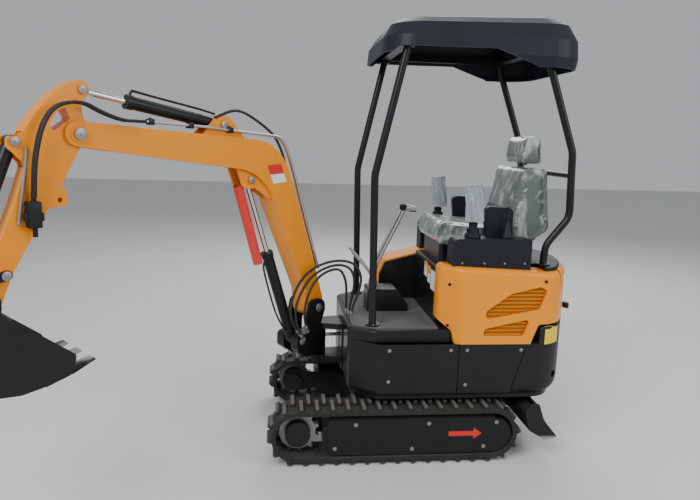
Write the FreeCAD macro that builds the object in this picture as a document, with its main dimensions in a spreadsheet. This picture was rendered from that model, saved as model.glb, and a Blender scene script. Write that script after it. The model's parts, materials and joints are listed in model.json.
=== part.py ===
import FreeCAD
import Part
import Sketcher
import math
import os
import re

# Mini excavator on rubber tracks, built as separate named pieces.
# Lengths in millimetres; x forward, y to the operator's left, z up.
# The slew axis is x = 0, y = 0 of the working frame; frame_x and frame_y
# carry every piece from there to the middle of the whole machine's box.

os.makedirs("parts", exist_ok=True)
doc = FreeCAD.newDocument("MiniExcavator")
sheet = doc.addObject("Spreadsheet::Sheet", "Sizes")

# Sizes that drive the machine: word, value.
SIZES = [
    ("frame_x", -429.7), ("frame_y", -387.2), ("skin_gap", 0.3), ("fit_gap", 0.05), ("side_gap", 4),
    # tracks and their frames
    ("track_half", 627), ("track_round", 148), ("track_in", 275), ("track_wide", 180),
    ("lug_tall", 21), ("lug_wide", 28), ("lug_long", 106), ("lug_count", 36),
    ("belt_thick", 20), ("horn_tall", 18), ("horn_wide", 12), ("horn_in", 16),
    ("plate_thick", 12), ("beam_half", 360), ("beam_low", 104), ("beam_tall", 96), ("plate_drop", 52),
    ("fork_half", 26), ("wheel_half", 14), ("tooth_tall", 18), ("tooth_count", 11), ("hub_round", 62),
    ("drum_round", 30), ("drum_half", 60), ("axle_round", 11), ("roller_step", 240),
    ("cover_front", 335), ("cover_low", 50), ("cover_tall", 176), ("cover_reach", 577),
    ("cover_thick", 6), ("flange_in", 24), ("flange_rise", 20),
    # carbody and slew ring
    ("car_half", 190), ("car_low", 120), ("car_tall", 115), ("car_round", 60), ("leg_tall", 80),
    ("race_in", 120), ("race_mid", 160), ("race_out", 195), ("ring_tall", 77), ("ring_gap", 6),
    # dozer blade
    ("arm_y", 150), ("arm_half", 15), ("lift_back", 250), ("lift_z", 165), ("blade_half", 455),
    ("blade_reach", 815), ("blade_deep", 175), ("blade_low", 106), ("blade_tall", 194),
    ("push_back", 225), ("push_z", 264), ("pull_back", 600), ("pull_z", 236), ("ear_thick", 12),
    # upper body
    ("deck_thick", 22), ("deck_inset", 36), ("panel_tall", 264), ("floor_tall", 60), ("mat_thick", 6),
    ("body_half", 440), ("nose_x", 237), ("nose_half", 330), ("nose_cut", 100), ("wall", 6),
    ("corner_back", 765), ("corner_round", 170), ("apex_back", 1050), ("tail_round", 640),
    ("panel_round", 30), ("flange_wide", 40), ("seam_back", 288), ("floor_half", 405),
    ("weight_low_back", 555), ("weight_high_back", 630), ("weight_step_back", 690),
    ("weight_step_tall", 84), ("weight_round", 55), ("lash_back", 800), ("lash_rise", 90), ("lash_round", 18),
    ("hood_front_back", 188), ("hood_tall", 381), ("hood_long", 517), ("hood_fall", 25), ("hood_inner", 300),
    ("hood_wall", 30), ("hood_round", 28), ("right_in", 226), ("bonnet_wall", 8),
    ("vent_back", 205), ("vent_long", 500), ("vent_deep", 24), ("slat_step", 19), ("slat_gap", 11),
    ("right_nose", 12), ("nose_rise", 211), ("knee_back", 18), ("knee_rise", 283), ("crest_back", 261),
    ("crest_rise", 345),
    ("lid_thick", 16), ("riser_front_back", 200), ("riser_long", 440), ("riser_left", 291),
    ("riser_right", 216), ("riser_tall", 283), ("shell", 8),
    ("engine_long", 230), ("engine_half", 190), ("engine_tall", 260),
    # seat and controls
    ("console_front_back", 243), ("console_long", 389), ("console_tall", 152), ("console_wide", 102),
    ("console_round", 34), ("stick_back", 350), ("rod_back", 520), ("control_y", 348),
    ("grip_tall", 245), ("boot_round", 40), ("rest_back", 490), ("seat_half", 215), ("seat_rear", 576),
    ("seat_rise", 100),
    ("lever_round", 8), ("lever_y", 38),
    # canopy
    ("post_y", 332), ("post_round", 18), ("foot_round", 34), ("foot_thick", 8),
    ("front_foot_x", 121), ("front_bend_x", 134), ("front_bend_rise", 730), ("front_top_x", 2),
    ("post_top_rise", 1320), ("rear_foot_back", 722), ("rear_bend_back", 838), ("rear_top_back", 660),
    ("bar_rise", 748), ("bar_round", 14),
    ("roof_front", 110), ("roof_long", 950), ("roof_half", 395), ("roof_round", 150), ("roof_lip", 1246),
    ("roof_tall", 238), ("roof_wall", 12), ("roof_tilt", 0.035), ("beam_thick", 20),
    # swing bracket and post
    ("swing_x", 367), ("swing_turn", 40), ("ram_seat_back", 190), ("ram_seat_y", 100), ("ram_level", 500),
    ("lug_low", 395), ("lug_high", 603), ("lug_plate", 30), ("lug_round", 47), ("king_round", 25),
    ("hub_low", 430), ("hub_tall", 140), ("hub_wide", 45), ("post_half", 81), ("cheek_thick", 18),
    # digging arm: pins, measured along the reach and in height from one another
    ("foot_u", 75), ("foot_rise", 96), ("lift_out", 110), ("lift_drop", 160),
    ("boom_reach", 1196), ("boom_rise", 851), ("eye_out", 405), ("eye_rise", 664),
    ("crowd_back", 643), ("crowd_up", 58), ("horn_back", 25), ("horn_up", 160),
    ("stick_out", 324), ("stick_drop", 583), ("curl_out", 217), ("curl_drop", 31),
    ("rock_back", 51), ("rock_up", 92), ("rocker_out", 137), ("rocker_drop", 27),
    ("ear_out", 70), ("ear_drop", 64), ("hook_out", 72), ("hook_drop", 238), ("hook_round", 9),
    ("boom_half", 57.5), ("stick_half", 40), ("fork_in", 45.5), ("bucket_half", 160), ("bucket_wall", 10),
    ("pin_round", 15), ("thin_pin", 12), ("plate_out", 10), ("boss_out", 6),
    ("boom_ram", 27), ("boom_rod", 14), ("stick_ram", 26), ("stick_rod", 13), ("bucket_ram", 24),
    ("bucket_rod", 12),
    ("swing_ram", 24), ("swing_rod", 12), ("blade_ram", 24), ("blade_rod", 12),
    ("tooth_step", 122), ("tooth_half", 23),
]
for row, (word, value) in enumerate(SIZES, start=1):
    sheet.set("A%d" % row, word)
    sheet.set("B%d" % row, str(value))
    sheet.setAlias("B%d" % row, word)
doc.recompute()

# Places worked out from the sizes above: word, expression.
PLACES = [
    ("wheel_x", "track_half - track_round"), ("track_out", "track_in + track_wide"),
    ("track_mid", "track_in + track_wide / 2"), ("belt_out", "track_round - lug_tall"),
    ("belt_in", "track_round - lug_tall - belt_thick"), ("beam_high", "beam_low + beam_tall"),
    ("cover_high", "cover_low + cover_tall"),
    ("frame_in", "track_in + 10"), ("frame_out", "track_out - 15"),
    ("car_high", "car_low + car_tall"), ("deck_low", "car_low + car_tall + ring_tall + ring_gap"),
    ("deck_top", "deck_low + deck_thick"), ("belt_line", "deck_top + panel_tall"),
    ("floor_top", "belt_line + floor_tall"), ("mat_top", "floor_top + mat_thick"),
    ("riser_top", "mat_top + riser_tall"), ("weight_top", "belt_line + weight_step_tall"),
    ("lift_x", "-lift_back"), ("push_x", "-push_back"), ("pull_x", "-pull_back"),
    ("hood_high", "belt_line + hood_tall"), ("hood_low", "hood_high - hood_fall"),
    ("corner_x", "-corner_back"), ("apex_x", "-apex_back"),
    ("hood_x", "-hood_front_back"), ("seam_x", "-seam_back"), ("right_y", "-right_in"),
    ("riser_x", "-riser_front_back"), ("riser_end", "-riser_front_back - riser_long"),
    ("lid_low", "hood_low + skin_gap"), ("lid_top", "lid_low + lid_thick"),
    ("console_x", "-console_front_back"), ("console_end", "-console_front_back - console_long"),
    ("console_top", "riser_top + console_tall + 7"), ("console_y", "hood_inner"),
    ("stick_x", "-stick_back"), ("post_top", "mat_top + post_top_rise"),
    ("roof_low", "mat_top + roof_lip"), ("ram_seat_x", "-ram_seat_back"),
    ("foot_z", "belt_line + foot_rise"), ("lift_foot_u", "foot_u + lift_out"),
    ("lift_foot_z", "foot_z - lift_drop"), ("lift_eye_u", "foot_u + eye_out"),
    ("lift_eye_z", "foot_z + eye_rise"), ("elbow_u", "foot_u + boom_reach"),
    ("elbow_z", "foot_z + boom_rise"), ("crowd_foot_u", "elbow_u - crowd_back"),
    ("crowd_foot_z", "elbow_z + crowd_up"), ("crowd_eye_u", "elbow_u - horn_back"),
    ("crowd_eye_z", "elbow_z + horn_up"), ("tip_u", "elbow_u + stick_out"),
    ("tip_z", "elbow_z - stick_drop"), ("curl_foot_u", "elbow_u + curl_out"),
    ("curl_foot_z", "elbow_z - curl_drop"), ("rock_u", "tip_u - rock_back"),
    ("rock_z", "tip_z + rock_up"), ("rock_eye_u", "rock_u + rocker_out"),
    ("rock_eye_z", "rock_z - rocker_drop"), ("ear_u", "tip_u + ear_out"),
    ("ear_z", "tip_z - ear_drop"), ("hook_u", "elbow_u + hook_out"), ("hook_z", "elbow_z - hook_drop"),
    ("lift_slot", "boom_ram + 1"), ("crowd_slot", "stick_ram + 2"), ("curl_slot", "bucket_ram + 4"),
    ("swing_slot", "swing_ram + 0.5"), ("blade_slot", "blade_ram + 0.5"),
]
WORDS = {word for word, _ in SIZES}
WORKED = dict(PLACES)


def bound(text):
    """A size expression with each word pointing at the sheet."""
    def swap(match):
        word = match.group(0)
        if word in WORKED:
            return "(" + bound(WORKED[word]) + ")"
        return "Sizes." + word if word in WORDS else word
    return re.sub(r"[A-Za-z_]\w*", swap, str(text))


def mm(text):
    """The number a size expression stands for."""
    value = sheet.evalExpression(bound(text))
    return float(getattr(value, "Value", value))


NODES = []


def place(item, turn=False):
    """Puts a piece in the machine's frame, turned with the digging arm when asked."""
    if turn:
        item.Placement = FreeCAD.Placement(FreeCAD.Vector(), FreeCAD.Rotation(FreeCAD.Vector(0, 0, 1), 1))
        item.setExpression("Placement.Rotation.Angle", bound("swing_turn"))
    item.setExpression("Placement.Base.x", bound("frame_x + swing_x" if turn else "frame_x"))
    item.setExpression("Placement.Base.y", bound("frame_y"))


def body(label, turn=False):
    item = doc.addObject("PartDesign::Body", label)
    item.Label = label
    place(item, turn)
    NODES.append(item)
    return item


def shaped(label, shape, turn=False):
    """A piece whose form comes from lofts, sweeps or a long row of like solids."""
    item = doc.addObject("Part::Feature", label)
    item.Label = label
    item.Shape = shape
    place(item, turn)
    NODES.append(item)
    return item


def inside(x, wide, z, tall, shares):
    """Corners given as shares of a box; a third share rounds the corner."""
    corners = []
    for across, up, *bend in shares:
        corner = ("%s + %s * (%s)" % (x, across, wide), "%s + %s * (%s)" % (z, up, tall))
        corners.append(corner + tuple("%s * (%s)" % (r, tall) for r in bend))
    return corners


def between(p, q, shares):
    """Corners given as shares of the way from one pin to another, along and to its left."""
    du, dz = "(%s_u - %s_u)" % (q, p), "(%s_z - %s_z)" % (q, p)
    corners = []
    for along, left, *bend in shares:
        u = "%s_u + %s * %s - %s * %s" % (p, along, du, left, dz)
        z = "%s_z + %s * %s + %s * %s" % (p, along, dz, left, du)
        corners.append((u, z) + tuple("%s * sqrt(%s ^ 2 + %s ^ 2)" % (r, du, dz) for r in bend))
    return corners


def rect(u0, u1, v0, v1):
    return [(u0, v0), (u1, v0), (u1, v1), (u0, v1)]


def slab(u0, u1, v0, v1, bend):
    """A rectangle with its four corners rounded."""
    return [(u0, v0, bend), (u1, v0, bend), (u1, v1, bend), (u0, v1, bend)]


def corner_ends(spots, radii, i):
    """Where the arc of one corner starts, ends and has its middle."""
    spot = spots[i]
    a = (spots[i - 1] - spot).normalize()
    b = (spots[(i + 1) % len(spots)] - spot).normalize()
    half = a.getAngle(b) / 2
    back = radii[i] / math.tan(half)
    middle = spot + (a + b).normalize() * (radii[i] / math.sin(half) - radii[i])
    return spot + a * back, middle, spot + b * back


def draw_loop(sk, corners, rules):
    """Straight sides between corners; a corner with a third value gets a tangent arc."""
    count = len(corners)
    spots = [FreeCAD.Vector(mm(c[0]), mm(c[1]), 0) for c in corners]
    radii = [mm(c[2]) if len(c) > 2 else 0 for c in corners]
    ends = [corner_ends(spots, radii, i) if radii[i] else (spots[i], None, spots[i]) for i in range(count)]
    first = sk.GeometryCount
    sides = [Part.LineSegment(ends[i][2], ends[(i + 1) % count][0]) for i in range(count)]
    bent = [i for i in range(count) if radii[i]]
    left = [(spots[i] - spots[i - 1]).cross(spots[(i + 1) % count] - spots[i]).z > 0 for i in range(count)]
    arcs = [Part.Arc(*(ends[i] if left[i] else ends[i][::-1])) for i in bent]
    sk.addGeometry(sides + arcs, False)
    mark = sk.GeometryCount
    if bent:
        sk.addGeometry([Part.Point(spots[i]) for i in bent], True)
    for i, corner in enumerate(corners):
        before, after = first + (i - 1) % count, first + i
        if i not in bent:
            rules.append((("Coincident", before, 2, after, 1), None))
            rules.append((("DistanceX", after, 1), corner[0]))
            rules.append((("DistanceY", after, 1), corner[1]))
            continue
        arc = first + count + bent.index(i)
        point = mark + bent.index(i)
        begin, finish = (1, 2) if left[i] else (2, 1)
        rules.append((("Tangent", before, 2, arc, begin), None))
        rules.append((("Tangent", arc, finish, after, 1), None))
        rules.append((("PointOnObject", point, 1, before), None))
        rules.append((("PointOnObject", point, 1, after), None))
        rules.append((("Radius", arc), corner[2]))
        rules.append((("DistanceX", point, 1), corner[0]))
        rules.append((("DistanceY", point, 1), corner[1]))


PLANES = {"XY": "XY_Plane", "XZ": "XZ_Plane", "YZ": "YZ_Plane"}


def sketch(item, plane, shapes, offset, at=("0", "0")):
    """A sketch of closed loops and (x, y, radius) circles, each value bound to the sheet."""
    sk = item.newObject("Sketcher::SketchObject", item.Label + "_outline")
    for feature in item.Origin.OriginFeatures:
        if feature.Role == PLANES[plane]:
            sk.AttachmentSupport = [(feature, "")]
    sk.MapMode = "FlatFace"
    for axis, value in zip("xyz", (*at, offset)):
        sk.setExpression("AttachmentOffset.Base." + axis, bound(value))
    rules = []
    for shape in shapes:
        if isinstance(shape, list):
            draw_loop(sk, shape, rules)
            continue
        middle = FreeCAD.Vector(mm(shape[0]), mm(shape[1]), 0)
        ring = sk.addGeometry(Part.Circle(middle, FreeCAD.Vector(0, 0, 1), mm(shape[2])), False)
        rules.append((("DistanceX", ring, 3), shape[0]))
        rules.append((("DistanceY", ring, 3), shape[1]))
        rules.append((("Radius", ring), shape[2]))
    start = sk.ConstraintCount
    sk.addConstraint([Sketcher.Constraint(*rule) if value is None else Sketcher.Constraint(*rule, mm(value))
                      for rule, value in rules])
    for number, (_, value) in enumerate(rules, start=start):
        if value is not None and re.search(r"[A-Za-z]", str(value)):
            sk.setExpression("Constraints[%d]" % number, bound(value))
    sk.Visibility = False
    return sk


def pad(item, plane, shapes, low, high, at=("0", "0")):
    """Material between two stations along the plane's own axis."""
    feature = item.newObject("PartDesign::Pad", item.Label + "_pad")
    feature.Profile = sketch(item, plane, shapes, "-(%s)" % high if plane == "XZ" else low, at)
    feature.setExpression("Length", bound("(%s) - (%s)" % (high, low)))
    item.Tip = feature
    return feature


def cut(item, plane, shapes, low, high):
    """Material taken away between two stations along the plane's own axis."""
    feature = item.newObject("PartDesign::Pocket", item.Label + "_cut")
    feature.Profile = sketch(item, plane, shapes, "-(%s)" % low if plane == "XZ" else high)
    feature.setExpression("Length", bound("(%s) - (%s)" % (high, low)))
    item.Tip = feature
    return feature


def spin(item, x, y, corners):
    """A turned form about an upright line; corners are radius and height."""
    sk = sketch(item, "XZ", [corners], "-(%s)" % y, (x, "0"))
    feature = item.newObject("PartDesign::Revolution", item.Label + "_turned")
    feature.Profile = sk
    feature.ReferenceAxis = (sk, ["V_Axis"])
    feature.Angle = 360
    item.Tip = feature


def repeat(item, kind, feature, axis, count, length="0"):
    """Repeats one feature round or along an axis of its own sketch."""
    pattern = item.newObject("PartDesign::%sPattern" % kind, item.Label + "_row")
    pattern.Originals = [feature]
    if kind == "Polar":
        pattern.Axis = (feature.Profile[0], [axis])
    else:
        pattern.Direction = (feature.Profile[0], [axis])
        pattern.setExpression("Length", bound(length))
    pattern.setExpression("Occurrences", bound(count))
    item.Tip = pattern


def soften(item, radius, chosen):
    """Rounds the edges whose bounding box passes the test."""
    doc.recompute()
    base = item.Tip
    names = ["Edge%d" % n for n, edge in enumerate(base.Shape.Edges, start=1) if chosen(edge.BoundBox)]
    feature = item.newObject("PartDesign::Fillet", item.Label + "_round")
    feature.Base = (base, names)
    feature.setExpression("Radius", bound(radius))
    item.Tip = feature


def level(box, z):
    """True when an edge lies flat at one height."""
    return abs(box.ZMin - mm(z)) < 0.01 and abs(box.ZMax - mm(z)) < 0.01


def tube(points, radius, bend):
    """A round bar along straight runs joined by tangent arcs."""
    spots = [FreeCAD.Vector(*p) for p in points]
    edges = []
    start = spots[0]
    for i in range(1, len(spots) - 1):
        arc = corner_ends(spots, [bend] * len(spots), i)
        edges.append(Part.makeLine(start, arc[0]))
        edges.append(Part.Arc(*arc).toShape())
        start = arc[2]
    edges.append(Part.makeLine(start, spots[-1]))
    ring = Part.Wire([Part.makeCircle(radius, spots[0], spots[1] - spots[0])])
    return Part.Wire(edges).makePipeShell([ring], True, False)


def span(side, a, b):
    """Two stations ordered low to high for one side of the machine."""
    return (a, b) if side > 0 else ("-(%s)" % b, "-(%s)" % a)


# Rubber tracks
def loop_point(s, reach, radius, middle):
    """Point and direction at distance s along the loop's outer belt face."""
    arc = math.pi * radius
    run = 2 * reach
    s = s % (2 * run + 2 * arc)
    if s < run:
        return -reach + s, middle + radius, 0.0
    s -= run
    if s < arc:
        a = s / radius
        return reach + radius * math.sin(a), middle + radius * math.cos(a), -a
    s -= arc
    if s < run:
        return reach - s, middle - radius, -math.pi
    s -= run
    a = s / radius
    return -reach - radius * math.sin(a), middle - radius * math.cos(a), -math.pi - a


def stadium(reach, radius, middle, y0, y1):
    """A solid round-ended bar lying along x."""
    shape = Part.makeBox(2 * reach, y1 - y0, 2 * radius, FreeCAD.Vector(-reach, y0, middle - radius))
    for x in (-reach, reach):
        end = Part.makeCylinder(radius, y1 - y0, FreeCAD.Vector(x, y0, middle), FreeCAD.Vector(0, 1, 0))
        shape = shape.fuse(end)
    return shape.removeSplitter()


def wedge(foot_wide, top_wide, foot, top, y0, y1):
    """A bar across the belt whose section narrows from its foot to its top."""
    outline = [(-foot_wide / 2, foot), (foot_wide / 2, foot), (top_wide / 2, top), (-top_wide / 2, top)]
    wire = Part.makePolygon([FreeCAD.Vector(x, y0, z) for x, z in outline + outline[:1]])
    return Part.Face(wire).extrude(FreeCAD.Vector(0, y1 - y0, 0))


for side, name in ((1, "left"), (-1, "right")):
    reach, middle = mm("wheel_x"), mm("track_round")
    outer, thick = mm("belt_out"), mm("belt_thick")
    near, far = sorted((side * mm("track_in"), side * mm("track_out")))
    centre = side * mm("track_mid")
    belt = stadium(reach, outer, middle, near, far)
    belt = belt.cut(stadium(reach, outer - thick, middle, near - 1, far + 1))
    count = int(mm("lug_count"))
    step = (4 * reach + 2 * math.pi * outer) / count
    wide, long, tall = mm("lug_wide"), mm("lug_long"), mm("lug_tall")
    horn, horn_in, horn_wide = mm("horn_tall"), mm("horn_in"), mm("horn_wide")
    bars = []
    for i in range(count):
        row = [
            (i * step, wedge(wide, 0.55 * wide, -2, tall, near, near + long)),
            ((i + 0.5) * step, wedge(wide, 0.55 * wide, -2, tall, far - long, far)),
        ]
        for y0 in (centre - horn_in - horn_wide, centre + horn_in):
            tooth = wedge(0.5 * wide, wide, -thick - horn, 1 - thick, y0, y0 + horn_wide)
            row.append(((i + 0.25) * step, tooth))
        for s, bar in row:
            x, z, a = loop_point(s, reach, outer, middle)
            spin_back = FreeCAD.Rotation(FreeCAD.Vector(0, 1, 0), -math.degrees(a))
            bar.Placement = FreeCAD.Placement(FreeCAD.Vector(x, 0, z), spin_back)
            bars.append(bar)
    ground = Part.makeBox(4 * far + 4 * reach, 4 * reach, reach,
                          FreeCAD.Vector(-4 * reach, -2 * reach, -reach))
    shaped("track_" + name, belt.multiFuse(bars).cut(ground))

# Track frames, covers, wheels and motors
SIDES = (1, -1)
track_frame = body("track_frames")
cover = body("track_covers")
sprocket = body("sprockets")
motor = body("travel_motors")
idler = body("idlers")
rollers = body("rollers")
fork_end = [("-wheel_x - fork_half", "track_round - fork_half", "fork_half - 2"),
            ("-beam_half", "beam_low"), ("-0.83 * beam_half", "plate_drop", 14),
            ("0.83 * beam_half", "plate_drop", 14), ("beam_half", "beam_low")]
fork_top = [("-beam_half", "beam_high", 20),
            ("-wheel_x - fork_half", "track_round + fork_half", "fork_half - 2")]
motor_end = [("wheel_x + 70", "track_round - 70", 66), ("wheel_x + 70", "track_round + 70", 66)]
for side in SIDES:
    centre = "(%d * track_mid)" % side
    inner = span(side, "frame_in", "frame_in + plate_thick")
    pad(track_frame, "XZ", [fork_end + motor_end + [("beam_half", "beam_high")] + fork_top], *inner)
    cut(track_frame, "XZ", [("wheel_x", "track_round", "hub_round - 17 + skin_gap")], *inner)
    outline = fork_end + [("beam_half", "beam_high", 20)] + fork_top
    pad(track_frame, "XZ", [outline], *span(side, "frame_out - plate_thick", "frame_out"))
    beam = [("-beam_half", "beam_low"), ("beam_half", "beam_low"), ("beam_half", "beam_high"),
            ("-beam_half", "beam_high")]
    pad(track_frame, "XZ", [beam], *span(side, "frame_in + plate_thick", "frame_out - plate_thick"))
    slide = [(-90, "beam_high"), (90, "beam_high"), (70, "track_round + belt_in - 0.4", 20),
             (-70, "track_round + belt_in - 0.4", 20)]
    pad(track_frame, "XZ", [slide], "%s - horn_in + 4" % centre, "%s + horn_in - 4" % centre)

    plate = [("-cover_reach", "cover_low", 90), ("cover_front", "cover_low", 24),
             ("cover_front", "cover_high", 8), ("-cover_reach", "cover_high", 80)]
    pad(cover, "XZ", [plate], *span(side, "frame_out", "frame_out + cover_thick"))
    flange = [("%d * (frame_out + cover_thick)" % side, "cover_high - 4"),
              ("%d * (frame_out + cover_thick)" % side, "cover_high"),
              ("%d * (frame_out + cover_thick - flange_in)" % side, "cover_high + flange_rise"),
              ("%d * (frame_out + cover_thick - flange_in)" % side, "cover_high + flange_rise - 5"),
              ("%d * frame_out" % side, "cover_high - 4")]
    pad(cover, "YZ", [flange], "-cover_reach + 82", "cover_front - 8")

    disc = ("wheel_x", "track_round", "belt_in - tooth_tall")
    bore = ("wheel_x", "track_round", "hub_round + skin_gap")
    pad(sprocket, "XZ", [disc, bore], "%s - wheel_half" % centre, "%s + wheel_half" % centre)
    tooth = [("belt_in - tooth_tall - 5", "-13"), ("belt_in - 0.6", "-6"), ("belt_in - 0.6", "6"),
             ("belt_in - tooth_tall - 5", "13")]
    first_tooth = pad(sprocket, "XZ", [tooth], "%s - wheel_half" % centre, "%s + wheel_half" % centre,
              ("wheel_x", "track_round"))
    repeat(sprocket, "Polar", first_tooth, "N_Axis", "tooth_count")

    pad(motor, "XZ", [("wheel_x", "track_round", "hub_round")],
        *span(side, "frame_in + plate_thick + skin_gap", "frame_out - 18"))
    pad(motor, "XZ", [("wheel_x", "track_round", "hub_round - 17")],
        *span(side, "track_in - 22", "frame_in + plate_thick + skin_gap"))

    rim = ("-wheel_x", "track_round", "belt_in - 0.6")
    pad(idler, "XZ", [rim, ("-wheel_x", "track_round", "belt_in - 22")],
        "%s - wheel_half" % centre, "%s + wheel_half" % centre)
    pad(idler, "XZ", [("-wheel_x", "track_round", "belt_in - 21")],
        "%s - wheel_half / 2" % centre, "%s + wheel_half / 2" % centre)
    pad(idler, "XZ", [("-wheel_x", "track_round", "fork_half")],
        *span(side, "frame_in + plate_thick + skin_gap", "frame_out - plate_thick - skin_gap"))

    spots = [("%d * roller_step" % i, "lug_tall + belt_thick + drum_round + skin_gap") for i in (-1, 0, 1)]
    for a, b in (("-drum_half", "-horn_in - 18"), ("horn_in + 18", "drum_half")):
        pad(rollers, "XZ", [spot + ("drum_round",) for spot in spots],
            "%s + %s" % (centre, a), "%s + %s" % (centre, b))
    pad(rollers, "XZ", [spot + ("axle_round",) for spot in spots],
        *span(side, "frame_in + plate_thick + skin_gap", "frame_out - plate_thick - skin_gap"))

# Carbody with its four legs and the ears of the blade
car = body("carbody")
half = ("-car_half", "car_half")
pad(car, "XY", [slab(*half, *half, "car_round")], "car_low", "car_high")
for front in (1, -1):
    for side in SIDES:
        leg = [("%d * 70" % front, "%d * 150" % side), ("%d * 150" % front, "%d * 60" % side),
               ("%d * 250" % front, "%d * frame_in" % side), ("%d * 130" % front, "%d * frame_in" % side)]
        pad(car, "XY", [leg], "car_low + 10", "car_low + 10 + leg_tall")
soften(car, "12", lambda box: level(box, "car_high"))
lift_ear = [("-0.6 * car_half", "lift_z - 38"), ("lift_x - 30", "lift_z - 32", 30),
            ("lift_x - 30", "lift_z + 32", 30), ("-0.6 * car_half", "lift_z + 38")]
for y in ("-arm_y", "arm_y"):
    for a, b in (("arm_half + 5", "arm_half + 23"), ("-arm_half - 23", "-arm_half - 5")):
        pad(car, "XZ", [lift_ear], "%s + %s" % (y, a), "%s + %s" % (y, b))
    pad(car, "XZ", [("lift_x", "lift_z", "pin_round")], "%s - arm_half - 23" % y, "%s + arm_half + 23" % y)
push_ear = [("-0.8 * car_half", "car_high - 30"), ("push_x - 24", "push_z - 30", 20),
            ("push_x - 24", "push_z + 24", 20), ("-race_out - 8", "push_z + 24", 10),
            ("-race_out - 8", "car_high - 1"), ("-0.8 * car_half", "car_high - 1")]
for a, b in (("blade_slot", "blade_slot + ear_thick"), ("-blade_slot - ear_thick", "-blade_slot")):
    pad(car, "XZ", [push_ear], a, b)
pad(car, "XZ", [("push_x", "push_z", "thin_pin")], "-blade_slot - ear_thick", "blade_slot + ear_thick")
cut(car, "XY", [("0", "0", "0.37 * car_half")], "car_low", "car_high")

ring = body("slew_ring")
pad(ring, "XY", [("0", "0", "race_mid"), ("0", "0", "race_in")], "car_high", "deck_low - ring_gap")

# Dozer blade: curved mouldboard, box behind it, edge, end plates and arms
blade = body("blade")
blade_box = ("-blade_reach", "blade_deep", "blade_low", "blade_tall")
mouldboard = [(0.611, 0.959), (0.477, 0.431, 1.25), (0, 0.103), (0.034, 0.062), (0.527, 0.402, 1.3),
              (0.667, 0.947)]
torque_box = [(0.863, 0.289, 0.041), (0.977, 0.711, 0.052), (0.749, 0.897, 0.041), (0.623, 0.784),
              (0.463, 0.433), (0.4, 0.278)]
edge = [(0, 0.103), (0.331, 0, 0.02), (0.429, 0.062, 0.02), (0.417, 0.227), (0.097, 0.139)]
end_plate = [(0.851, 0.284, 0.062), (1, 0.804, 0.072), (0.794, 1, 0.052), (0.589, 0.979, 0.031),
             (0.429, 0.557, 0.7), (0, 0.103, 0.015), (0.331, 0, 0.031)]
for outline in (mouldboard, torque_box, edge):
    pad(blade, "XZ", [inside(*blade_box, outline)], "-blade_half + 5", "blade_half - 5")
for side in SIDES:
    pad(blade, "XZ", [inside(*blade_box, end_plate)], *span(side, "blade_half - 10", "blade_half"))
back_low, back_high = inside(*blade_box, [(0.85, 0.32), (0.92, 0.63)])
lift_arm = [("lift_x + 30", "lift_z - 30", 29), ("lift_x + 30", "lift_z + 30", 29), back_high, back_low]
for y in ("-arm_y", "arm_y"):
    pad(blade, "XZ", [lift_arm, ("lift_x", "lift_z", "pin_round + fit_gap")], "%s - arm_half" % y,
        "%s + arm_half" % y)
ear_low, ear_high = inside(*blade_box, [(0.93, 0.34), (0.93, 0.76)])
pull_ear = [ear_low, ("pull_x + 24", "pull_z - 24", 22), ("pull_x + 24", "pull_z + 26", 22), ear_high]
for a, b in (("blade_slot", "blade_slot + ear_thick"), ("-blade_slot - ear_thick", "-blade_slot")):
    pad(blade, "XZ", [pull_ear], a, b)


# Plan of the upper body, shared by deck, hoods, bonnet and counterweight
def tail(front, inset):
    """The body's plan behind a station, drawn in by an inset: straight sides and one curved tail."""
    turn = math.atan2(mm("body_half"), mm("apex_back - corner_back"))
    shift, reach = round(math.tan(turn / 2), 4), round(1 / math.sin(turn), 4)
    side = [(front, "body_half - %s" % inset),
            ("corner_x + %s * (%s)" % (shift, inset), "body_half - %s" % inset, "corner_round - %s" % inset)]
    apex = [("apex_x + %s * (%s)" % (reach, inset), "0", "tail_round - %s" % inset)]
    return side + apex + [(c[0], "-(%s)" % c[1]) + tuple(c[2:]) for c in reversed(side)]


# Deck plate with the outer race and the seat of the swing ram
deck = body("deck")
nose = [("nose_x - deck_inset", "nose_half - 0.4 * deck_inset", 26),
        ("nose_cut", "body_half - deck_inset", 60)]
deck_plan = nose + tail("0", "deck_inset")[1:-1] + [(c[0], "-(%s)" % c[1], c[2]) for c in reversed(nose)]
pad(deck, "XY", [deck_plan, ("0", "0", "race_in - 10")], "deck_low", "deck_top")
pad(deck, "XY", [("0", "0", "race_out"), ("0", "0", "race_mid + 0.4")], "car_high + 10", "deck_low")
ram_seat = ("ram_seat_x", "-ram_seat_y")
pad(deck, "XY", [ram_seat + ("1.5 * thin_pin",)], "deck_top", "ram_level - swing_slot")
pad(deck, "XY", [ram_seat + ("thin_pin",)], "ram_level - swing_slot", "ram_level + 30")

bracket = body("swing_bracket")
block = [("nose_x - 90", -55), ("nose_x + 4", -55, 12), ("nose_x + 4", 55, 12), ("nose_x - 90", 55)]
pad(bracket, "XY", [block], "deck_top", "lug_high")
lug = [("nose_x - 20", -84), ("nose_x + 30", -84, 26), ("swing_x + lug_round", "-lug_round", "lug_round - 2"),
       ("swing_x + lug_round", "lug_round", "lug_round - 2"), ("nose_x + 30", 84, 26), ("nose_x - 20", 84)]
for low, high in (("lug_low", "lug_low + lug_plate"), ("lug_high - lug_plate", "lug_high")):
    pad(bracket, "XY", [lug], low, high)
    cut(bracket, "XY", [("swing_x", "0", "king_round + fit_gap")], low, high)

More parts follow.
